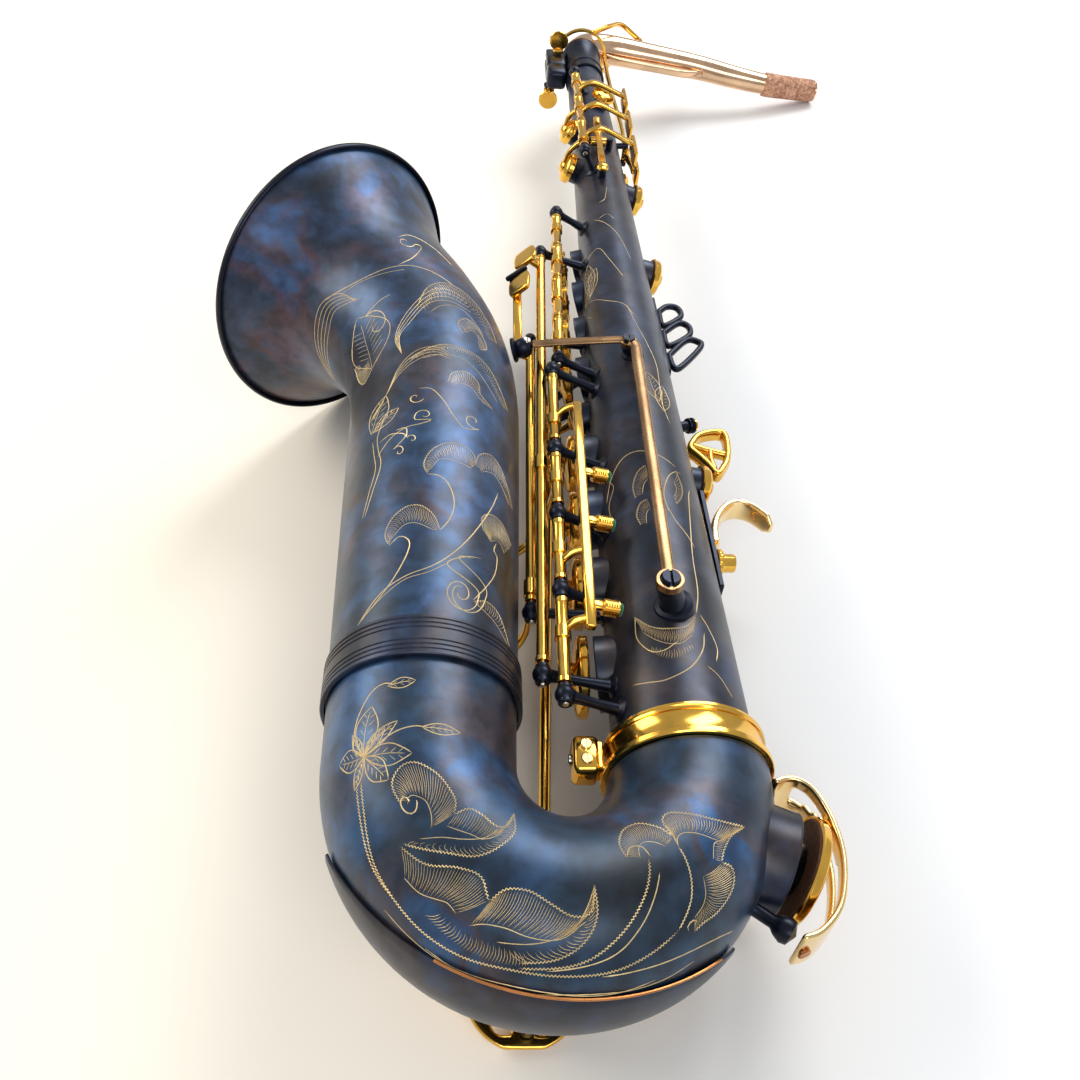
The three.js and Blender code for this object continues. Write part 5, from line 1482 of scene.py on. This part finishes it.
def engrave_body():
    body = Engraver(lambda y: (v(0, y, 0), ALONG), body_radius, 0.5)
    body.stroke([(34, 140), (32, 126), (31, 110), (36, 90), (46, 76), (56, 71)], 0.6, 0.15)
    body.fan([(68, 132), (60, 118), (57, 104), (58, 87), (65, 76)],
             [(58, 125), (52, 114), (49, 104), (49, 93), (54, 82)], 26)
    body.stroke([(65, 76), (80, 69), (100, 67), (120, 62), (142, 55), (150, 50)], 0.6, 0.15)
    body.stroke([(67, 131), (56, 131), (47, 120), (46, 108), (50, 96)], 0.6)
    body.fan([(47, 122), (42, 112), (40, 98), (46, 82)], [(50, 118), (48, 108), (48, 98), (50, 88)], 14,
             (0.2, 0.9), False)
    body.stroke([(38, 74), (34, 64), (26, 54)], 0.5)
    body.stroke([(42, 64), (50, 60), (60, 66), (66, 72)], 0.55)
    body.stroke([(146, 152), (158, 143), (168, 127), (171, 108), (168, 86), (162, 66)], 0.6)
    body.stroke([(130, 146), (142, 149), (152, 140), (158, 145)], 0.45)
    body.fan([(138, 116), (147, 117), (156, 110), (160, 100)],
             [(140, 108), (144, 107), (148, 104), (150, 100)], 12)
    body.fan([(120, 114), (127, 117), (134, 112), (136, 104)],
             [(120, 108), (124, 108), (128, 106), (130, 102)], 10)
    body.stroke([(128, 84), (140, 86), (152, 78), (158, 67), (158, 60)], 0.6)
    body.stroke([(130, 84), (122, 78), (114, 68), (108, 62)], 0.55)
    body.fan([(158, 66), (148, 62), (140, 66), (134, 74)], [(150, 72), (146, 70), (142, 72), (138, 76)], 10)
    body.petal((212, 70), (236, 80), 0.24, 5)
    body.petal((205, 66), (228, 60), 0.24, 5)
    body.stroke([(196, 60), (214, 66), (244, 62), (262, 70), (280, 82), (300, 92)], 0.5)
    body.stroke([(300, 150), (312, 172), (318, 160), (314, 140), (306, 118), (300, 96), (290, 84)], 0.5)
    body.petal((318, 166), (346, 132), 0.22, 6)
    body.petal((322, 150), (356, 150), 0.2, 5)
    body.stroke([(330, 90), (350, 108), (366, 124), (362, 150)], 0.45)
    body.stroke([(352, 70), (376, 84), (392, 104), (402, 128)], 0.45)
    body.stroke([(400, 118), (404, 100), (398, 88)], 0.45)
    body.stroke([(420, 112), (424, 100), (440, 92)], 0.4)
    body.finish("body_engraving")


# ---------------------------------------------------------------- camera, floor and light
def make_camera():
    data = bpy.data.cameras.new("camera")
    data.sensor_width = 36
    data.lens = 37.365
    data.clip_start, data.clip_end = 0.01, 50
    camera = bpy.data.objects.new("camera", data)
    bpy.context.scene.collection.objects.link(camera)
    axes = [TURN @ Vector(axis).normalized() for axis in (
        (0.99456, -0.03544, 0.09795), (-0.04314, 0.71576, 0.69701), (-0.09481, -0.69744, 0.71034))]
    place = Matrix.Translation(in_row(v(-103.8, -236.5, 374.6)))
    camera.matrix_world = place @ Matrix(axes).transposed().to_4x4()
    bpy.context.scene.camera = camera


def area_light(name, place, target, size, power, color):
    data = bpy.data.lights.new(name, "AREA")
    data.shape = "RECTANGLE"
    data.size, data.size_y = size
    data.energy = power
    data.color = color
    light = bpy.data.objects.new(name, data)
    bpy.context.scene.collection.objects.link(light)
    light.location = place
    light.rotation_euler = (Vector(target) - Vector(place)).to_track_quat("-Z", "Y").to_euler()


def make_stage():
    floor = bpy.data.objects.new("floor", bpy.data.meshes.new("floor"))
    half, sunk = 6, -0.0004
    corners = [(x * half, y * half, sunk) for x, y in ((-1, -1), (1, -1), (1, 1), (-1, 1))]
    floor.data.from_pydata(corners, [], [(0, 1, 2, 3)])
    floor.data.materials.append(FLOOR_PAPER_PAINTED_WARM_LIGHT)
    bpy.context.scene.collection.objects.link(floor)
    world = bpy.data.worlds.new("world")
    world.use_nodes = True
    world.node_tree.nodes["Background"].inputs["Color"].default_value = (0.92, 0.95, 1, 1)
    world.node_tree.nodes["Background"].inputs["Strength"].default_value = 0.55
    bpy.context.scene.world = world
    area_light("window", (1.1, 1.5, 1.7), (0, 0.1, 0), (1.5, 1.2), 44, (0.96, 0.98, 1))
    area_light("left_window", (-1.6, 0.5, 1.3), (-0.1, 0, 0.05), (1.4, 1.0), 25, (1, 0.91, 0.76))
    area_light("front_fill", (0.4, -1.6, 1.5), (0, -0.2, 0), (1.4, 0.7), 13, (0.94, 0.97, 1))
    bpy.context.scene.view_settings.view_transform = "Standard"


make_camera()
make_body()
make_bow()
make_bell()
make_rings()
make_receiver()
make_neck()
make_octave_key()
make_lower_stack()
make_upper_stack()
make_side_keys()
make_palm_keys()
make_low_keys()
make_octave_levers()
make_braces()
make_strap_ring()
make_thumb_hook()
make_side_guard()
make_low_c_guard()
make_bow_key_guard()
engrave_bow()
engrave_bell()
engrave_body()
make_stage()
